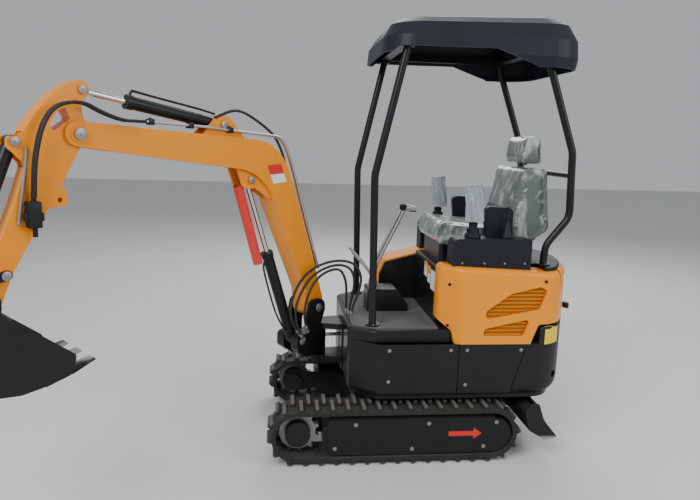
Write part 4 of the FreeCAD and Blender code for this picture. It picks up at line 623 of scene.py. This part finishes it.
# Rams
# Black painted barrels, hard chromed rods. A split red guard of sheet metal rides
# in front of the boom ram's rod.
RAMS = ("boom", "stick", "bucket", "swing", "blade")
chrome = finish("chrome", (0.62, 0.62, 0.64), 0.12, metal=1.0, grain=200, depth=0.01, dust=0.0)
dress(black, *["ram_%s_barrel" % word for word in RAMS])
dress(chrome, *["ram_%s_rod" % word for word in RAMS])
guard_red = finish("guard_red", (0.6, 0.03, 0.02), 0.35, coat=0.4, grain=80, depth=0.05, dust=0.04)
GUARD_TOP, GUARD_LOW = Vector((0.522, 0, 1.338)), Vector((0.402, 0, 0.962))
GUARD_ROUND, GUARD_SPLIT, GUARD_SHEET = 0.026, -0.008, 0.003
along = GUARD_TOP - GUARD_LOW
bpy.ops.object.select_all(action="DESELECT")
bpy.ops.mesh.primitive_cylinder_add(vertices=48, radius=GUARD_ROUND, depth=along.length,
                                    end_fill_type="NOTHING")
guard = bpy.context.object
bpy.ops.object.mode_set(mode="EDIT")
bpy.ops.mesh.select_all(action="SELECT")
bpy.ops.mesh.bisect(plane_co=(0, GUARD_SPLIT, 0), plane_no=(0, -1, 0), clear_outer=True)
bpy.ops.object.mode_set(mode="OBJECT")
tilt = math.atan2(along.x, along.z)
guard.data.transform(Matrix.Rotation(math.radians(-90), 4, "Z"))
guard.data.transform(Matrix.Translation((GUARD_TOP + GUARD_LOW) / 2) @ Matrix.Rotation(tilt, 4, "Y"))
thick = guard.modifiers.new("sheet", "SOLIDIFY")
thick.thickness = GUARD_SHEET
bpy.ops.object.modifier_apply(modifier="sheet")
arm_settle([guard], "ram_guard", guard_red, "ram_boom_rod")

# Hoses and pipes
# Black rubber pressure hoses: three loops from the deck to the swing post, two
# over the elbow to a valve block on the stick, one over the boom's bend and one
# down the boom ram. Bright pipes run along the boom in clamps and down the stick.
hose_rubber = finish("hose_rubber", (0.02, 0.02, 0.022), 0.6, grain=180, depth=0.2, dust=0.06)
pipe_steel = finish("pipe_steel", (0.42, 0.42, 0.43), 0.3, metal=0.9, grain=90, depth=0.06, dust=0.05)
HOSE, THIN_HOSE, PIPE, RAM_PIPE = 0.0066, 0.005, 0.006, 0.0055


def tube(points, radius):
    """A round hose or pipe through control points, as a mesh."""
    data = bpy.data.curves.new("run", "CURVE")
    data.dimensions = "3D"
    data.bevel_depth = radius
    data.bevel_resolution = 3
    data.resolution_u = 10
    data.use_fill_caps = True
    line = data.splines.new("NURBS")
    line.points.add(len(points) - 1)
    for point, spot in zip(line.points, points):
        point.co = (*spot, 1)
    line.order_u = 3
    line.use_endpoint_u = True
    piece = bpy.data.objects.new("run", data)
    scene.collection.objects.link(piece)
    alone(piece)
    bpy.ops.object.convert(target="MESH")
    return bpy.context.view_layer.objects.active


def arm_points(points):
    """Places given along the arm, beside it and in height, in the row frame."""
    return [ARM @ Vector(point) for point in points]


def crimp(spot, facing, radius):
    """The crimped collar and hexagon nut at the end of a hose."""
    facing = Vector(facing).normalized()
    collar = drum(Vector(spot) - facing * 0.03, facing, 1.35 * radius, 0.03, 20, 0.001)
    nut = drum(Vector(spot), facing, 1.7 * radius, 0.012, 6, 0.001)
    return [collar, nut]


# columns: name, offset to the left; the hose leaves a clamp on the boom and ends on the stick
for name, shift in (("elbow_hose_a", 0.074), ("elbow_hose_b", 0.094)):
    path = arm_points([(0.98, 0.044, 1.606), (1.05, 0.055, 1.606), (1.12, shift, 1.606), (1.20, shift, 1.632),
                       (1.27, shift, 1.668), (1.36, shift, 1.652), (1.41, shift, 1.585), (1.437, shift, 1.48),
                       (1.446, shift, 1.40), (1.444, shift - 0.015, 1.33)])
    piece = settle([tube(path, HOSE)], name, hose_rubber, None)
    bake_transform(piece)
path = arm_points([(0.672, 0.037, 1.635), (0.60, 0.037, 1.668), (0.52, 0.01, 1.675), (0.43, -0.03, 1.655),
                   (0.34, -0.035, 1.61), (0.27, -0.035, 1.56), (0.215, -0.035, 1.46), (0.165, -0.035, 1.30)])
settle([tube(path, HOSE)], "bend_hose", hose_rubber, "boom")
pipes = []
for shift in (0.037, 0.050):
    path = arm_points([(1.0, shift, 1.607), (0.86, shift, 1.601), (0.70, shift, 1.594), (0.5, shift, 1.576),
                       (0.38, shift, 1.569), (0.3, shift, 1.56), (0.24, shift, 1.45), (0.14, shift, 1.15),
                       (0.05, shift, 0.90)])
    pipes.append(tube(path, PIPE))
settle(pipes, "boom_pipes", pipe_steel, "boom")
path = arm_points([(1.041, 0, 1.704), (1.038, 0, 1.725), (1.005, 0, 1.719), (0.90, 0, 1.700),
                   (0.78, 0, 1.680), (0.70, 0.01, 1.664), (0.66, 0.02, 1.652)])
settle([tube(path, RAM_PIPE)], "stick_ram_pipe", black, "ram_stick_barrel")
path = arm_points([(0.366, 0.01, 0.974), (0.385, 0.012, 0.955), (0.374, 0.014, 0.90),
                   (0.342, 0.014, 0.80), (0.29, 0.014, 0.66), (0.235, 0.012, 0.59)])
settle([tube(path, THIN_HOSE)], "boom_ram_hose", hose_rubber, "ram_boom_barrel")
path = arm_points([(1.452, 0.05, 1.50), (1.458, 0.05, 1.44), (1.472, 0.05, 1.36),
                   (1.487, 0.05, 1.27), (1.492, 0.05, 1.235), (1.492, 0.036, 1.232)])
settle([tube(path, PIPE)], "stick_pipes", pipe_steel, "stick")
CLAMP_HALF_LONG, CLAMP_HALF_TALL = 0.014, 0.012
clamps = []
for along, height in ((0.98, 1.606), (0.80, 1.598), (0.60, 1.586)):
    clamps.append(block((along - CLAMP_HALF_LONG, 0.0305, height - CLAMP_HALF_TALL),
                        (along + CLAMP_HALF_LONG, 0.0565, height + CLAMP_HALF_TALL), 0.003))
    clamps += bolt((along, 0.0435, height + CLAMP_HALF_TALL), (0, 0, 1), 0.005)
arm_settle(clamps, "boom_clamps", black, "boom")
valve = [block((1.425, 0.04, 1.222), (1.468, 0.088, 1.315), 0.004)]
valve.append(block((1.415, 0.05, 1.245), (1.478, 0.08, 1.275), 0.003))
valve += crimp((1.446, 0.07, 1.318), (0, 0, -1), HOSE) + crimp((1.446, 0.07, 1.22), (0, 0, 1), HOSE)
arm_settle(valve, "valve_block", cast, "stick")
# each loop goes from its fitting on the deck, over the top, down to the swing post
DECK_FITTING = 0.66
LOOPS = (
    ("a", ((0.205, 0.15, 0.62), (0.205, 0.15, 0.70), (0.165, 0.15, 0.80), (0.155, 0.15, 0.88),
           (0.195, 0.13, 0.945), (0.30, 0.13, 0.955), (0.41, 0.17, 0.92), (0.48, 0.2, 0.85),
           (0.525, 0.24, 0.73), (0.50, 0.22, 0.63), (0.47, 0.19, 0.585))),
    ("b", ((0.215, 0.12, 0.62), (0.215, 0.12, 0.69), (0.19, 0.12, 0.80), (0.19, 0.12, 0.87),
           (0.22, 0.11, 0.92), (0.30, 0.12, 0.93), (0.40, 0.16, 0.89), (0.46, 0.2, 0.82),
           (0.50, 0.23, 0.71), (0.475, 0.21, 0.60), (0.45, 0.19, 0.56))),
    ("c", ((0.225, 0.09, 0.62), (0.225, 0.09, 0.69), (0.225, 0.09, 0.78), (0.23, 0.09, 0.84),
           (0.26, 0.1, 0.905), (0.33, 0.13, 0.90), (0.40, 0.16, 0.85), (0.44, 0.19, 0.76),
           (0.45, 0.2, 0.66), (0.43, 0.18, 0.60))),
)
for word, spots in LOOPS:
    path = [at(*spot) for spot in spots]
    piece = settle([tube(path, HOSE)], "foot_hose_" + word, hose_rubber, None)
    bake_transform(piece)
    fitting = crimp((path[0].x, path[0].y, DECK_FITTING), (0, 0, -1), HOSE)
    settle(fitting, "foot_fitting_" + word, steel, "house")
    fitting = crimp(path[-1], path[-1] - path[-2], HOSE)
    settle(fitting, "post_fitting_" + word, steel, "swing_post")

# Bucket
# A black shell whose lip and teeth are ground bright by the soil, in patches
# that fade out away from the teeth.
worn_black = finish("bucket_black", (0.007, 0.008, 0.009), 0.4, coat=0.05, grain=60, depth=0.25, dust=0.07)
TEETH_SPOT, WORN_FAR, WORN_NEAR = Vector((1.29, 0, 0.73)), 0.20, 0.10
tree = worn_black.node_tree
place = add(tree, "TexCoord")
scrape = add(tree, "TexNoise", scale=14, detail=8)
tree.links.new(place.outputs["Object"], scrape.inputs["Vector"])
apart = add(tree, "VectorMath")
apart.operation = "DISTANCE"
apart.inputs[1].default_value = ARM @ TEETH_SPOT
tree.links.new(place.outputs["Object"], apart.inputs[0])
near = ramp(tree, apart.outputs["Value"], WORN_FAR, WORN_NEAR)
patch = sum_of(tree, "MULTIPLY", near, scrape.outputs["Fac"])
lay_over(worn_black, ramp(tree, patch, 0.25, 0.5), (0.3, 0.29, 0.28))
dress(worn_black, "bucket")

size = {"cad": [list(cad_low), list(cad_high)], "all": [list(v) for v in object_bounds()]}
